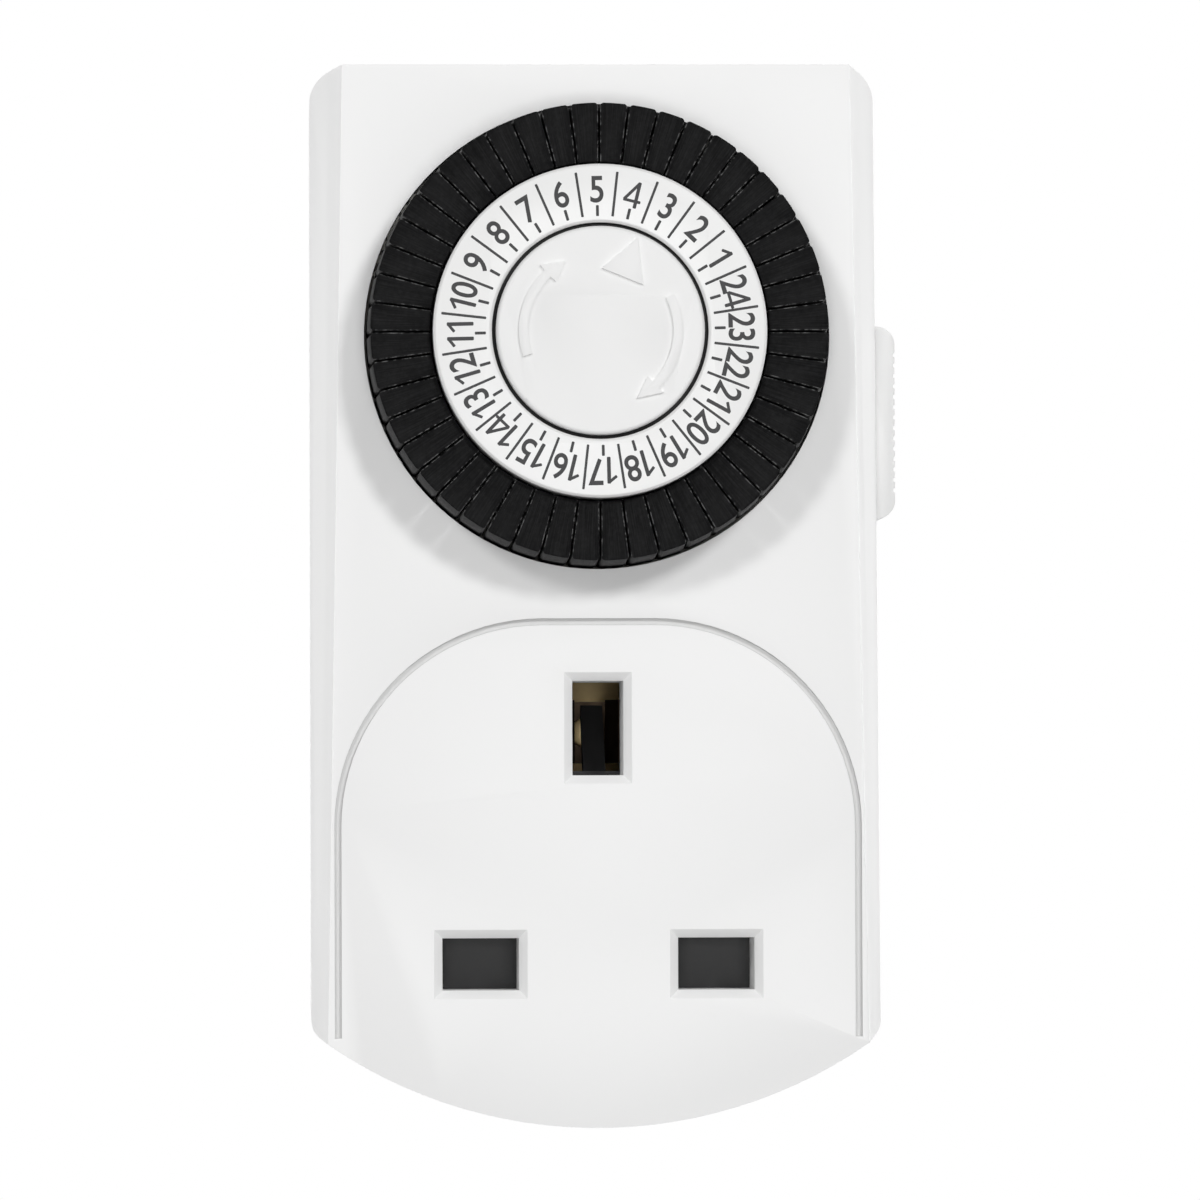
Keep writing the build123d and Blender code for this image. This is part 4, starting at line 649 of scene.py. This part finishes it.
# %% Housing, cap, slide and pins
OUTER_PARTS = (
    # node, name of its copy, slot, finish, round in millimetres
    ("front_cover", "front_shell", "white_plastic", white_shell, 0.14),
    ("rear_cover", "rear_shell", "white_plastic", white_shell, 0.16),
    ("centre_cap", "pointer_cap", "white_plastic", cap_white, 0.08),
    ("override_slider", "thumb_slide", "white_plastic", slide_white, 0.08),
    ("dial_disc", "dial_face", "dial_white", dial_white, 0.06),
    ("line_pin", "line_blade", "plug_brass", plug_brass, 0.15),
    ("neutral_pin", "neutral_blade", "plug_brass", plug_brass, 0.15),
    ("earth_pin", "earth_blade", "plug_brass", plug_brass, 0.15),
    ("pin_sleeves", "blade_sleeves", "sleeve_black", sleeve_black, 0.08),
    ("housing_screws", "rear_screws", "steel", zinc_steel, 0.06),
)
for node, name, slot, finish, edge in OUTER_PARTS:
    piece = soft_copy(node, name, finish, edge * MM)
    print(name, len(piece.data.polygons), "faces")

# %% Tappets
TAPPET_ROUND = 0.05 * MM
for hour in range(1, HOURS + 1):
    node, name = f"tappets_hour_{hour:02d}", f"tappet_pair_{hour:02d}"
    soft_copy(node, name, tappet_black, TAPPET_ROUND)
print("tappet pairs:", HOURS)

# %% [markdown]
# ## Hour numbers
# The dial's white ring carries printed numbers that stand a hundredth of a millimetre proud of
# it, as ink does. Each digit is a text object turned into a thin mesh. The built-in font's 1 is a
# bare stroke and its 4 fills up when it is made bolder, so those two are put together from bars:
# the 1 has a stem and a slanting flag, the 4 a stem, a crossbar and a slope. A bar is a plane with
# rounded corners, extruded to the ink's thickness. The hours run anticlockwise, because the dial
# itself turns clockwise past a fixed pointer, and their tops point outwards.

# %% Ink sizes
INK_HEIGHT = 0.012 * MM
NUMBER_RADIUS = 13.05 * MM
NUMBER_HEIGHT = 2.5 * MM
DIGIT_WIDTH = 0.86  # of the font's own width
DIGIT_STEP = 0.55  # from one digit to the next, in digit heights
BOLDER = 0.013  # how far the font's outlines are moved outwards
PRINT_TURN = radians(-1.2)  # of the whole print on the dial
TOP_HOUR = 5  # the number at the top
BAR_CORNER = 0.25  # size of a bar's corners, as a part of its shorter side
BAR_STEP = 0.1  # how much thinner each further bar of a digit is
BAR_DIGITS = {  # width, length, X, Y and turn in degrees of each bar of a digit one unit high
    "1": ((0.14, 1.0, 0.08, 0.0, 0), (0.36, 0.11, -0.07, 0.33, 38)),
    "4": ((0.13, 1.0, 0.15, 0.0, 0), (0.66, 0.11, 0.0, -0.24, 0), (0.86, 0.115, -0.07, 0.12, 57)),
}


# %% Bars and digits
def ink_bar(width, length, thickness, place=(0, 0, 0), turn=0.0):
    """A thin bar with rounded corners, lying in the XY plane."""
    select_nothing()
    bpy.ops.mesh.primitive_plane_add(size=1.0, location=(0, 0, 0))
    bar = bpy.context.object
    bar.scale = (width, length, 1.0)
    bpy.ops.object.transform_apply(location=False, rotation=False, scale=True)
    bpy.ops.object.mode_set(mode="EDIT")
    bpy.ops.mesh.select_all(action="SELECT")
    bpy.ops.mesh.bevel(offset=min(width, length) * BAR_CORNER, segments=2, affect="VERTICES")
    bpy.ops.mesh.select_all(action="SELECT")
    bpy.ops.mesh.extrude_region_move(TRANSFORM_OT_translate={"value": (0, 0, thickness)})
    bpy.ops.mesh.select_all(action="SELECT")
    bpy.ops.mesh.normals_make_consistent(inside=False)
    bpy.ops.object.mode_set(mode="OBJECT")
    bar.location = place
    bar.rotation_euler = (0, 0, turn)
    bpy.ops.object.transform_apply(location=True, rotation=True, scale=True)
    return bar


def joined(pieces, name):
    """Join pieces into one object of this name."""
    select_nothing()
    for piece in pieces:
        piece.select_set(True)
    bpy.context.view_layer.objects.active = pieces[0]
    bpy.ops.object.join()
    bpy.context.object.name = name
    return bpy.context.object


def printed_digit(character, column):
    """One digit, one unit high and one unit thick, moved sideways to its column."""
    if character in BAR_DIGITS:
        # the bars differ in thickness, so that no two of their fronts lie in one plane
        bars = [
            ink_bar(width, length, 1.0 - BAR_STEP * order, (column + x, y, 0), radians(turn))
            for order, (width, length, x, y, turn) in enumerate(BAR_DIGITS[character])
        ]
        return joined(bars, "digit")
    select_nothing()
    bpy.ops.object.text_add(location=(0, 0, 0))
    text = bpy.context.object
    text.data.body = character
    text.data.align_x = "CENTER"
    text.data.align_y = "CENTER"
    text.data.extrude = 0.5  # to each side, so one unit in all
    text.data.offset = BOLDER
    bpy.ops.object.convert(target="MESH")
    digit = bpy.context.object
    digit.scale = (DIGIT_WIDTH / digit.dimensions.y, 1.0 / digit.dimensions.y, 1.0)
    digit.location = (column, 0, 0.5)
    bpy.ops.object.transform_apply(location=True, rotation=True, scale=True)
    return digit


def put_on_dial(piece, clockwise, radius):
    """Turn a flat piece to face the front, move it out to its radius and fix it in its mesh."""
    select_only(piece)
    piece.rotation_euler = (radians(90), clockwise, 0)
    piece.location = (
        DIAL_CENTRE[0] + radius * sin(clockwise),
        RING_FRONT,
        DIAL_CENTRE[1] + radius * cos(clockwise),
    )
    bpy.ops.object.transform_apply(location=True, rotation=True, scale=True)


# %% Hour numbers
numbers = []
for hour in range(1, HOURS + 1):
    digits = str(hour)
    number = joined(
        [
            printed_digit(character, (column - (len(digits) - 1) / 2) * DIGIT_STEP)
            for column, character in enumerate(digits)
        ],
        "number",
    )
    number.scale = (NUMBER_HEIGHT, NUMBER_HEIGHT, INK_HEIGHT)
    put_on_dial(number, HOUR_ANGLE * (TOP_HOUR - hour) + PRINT_TURN, NUMBER_RADIUS)
    numbers.append(number)
hour_numbers = joined(numbers, "hour_numbers")
print("hour numbers:", len(numbers))

# %% [markdown]
# ## Hour lines and half-hour ticks
# Between the numbers stand long thin lines, and under each number a short tick. Both are rings
# of 24 of the same ink bars.


# %% Hour lines and ticks
def ring_of_bars(name, inner, outer, width, first_turn):
    """One bar for each hour, from an inner to an outer radius."""
    bars = []
    for step in range(HOURS):
        bar = ink_bar(width, outer - inner, INK_HEIGHT)
        put_on_dial(bar, HOUR_ANGLE * step + first_turn + PRINT_TURN, (inner + outer) / 2)
        bars.append(bar)
    return joined(bars, name)


LINE_FROM, LINE_TO, LINE_WIDTH = 10.7 * MM, 14.9 * MM, 0.24 * MM
TICK_FROM, TICK_TO, TICK_WIDTH = 10.67 * MM, 11.7 * MM, 0.27 * MM
hour_lines = ring_of_bars("hour_lines", LINE_FROM, LINE_TO, LINE_WIDTH, HOUR_ANGLE / 2)
half_hour_ticks = ring_of_bars("half_hour_ticks", TICK_FROM, TICK_TO, TICK_WIDTH, 0.0)
for print_piece in (hour_numbers, hour_lines, half_hour_ticks):
    print_piece.data.materials.clear()
    print_piece.data.materials.append(dial_ink)
    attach(print_piece, "dial")
print("bars:", len(hour_lines.data.polygons), "and", len(half_hour_ticks.data.polygons), "faces")
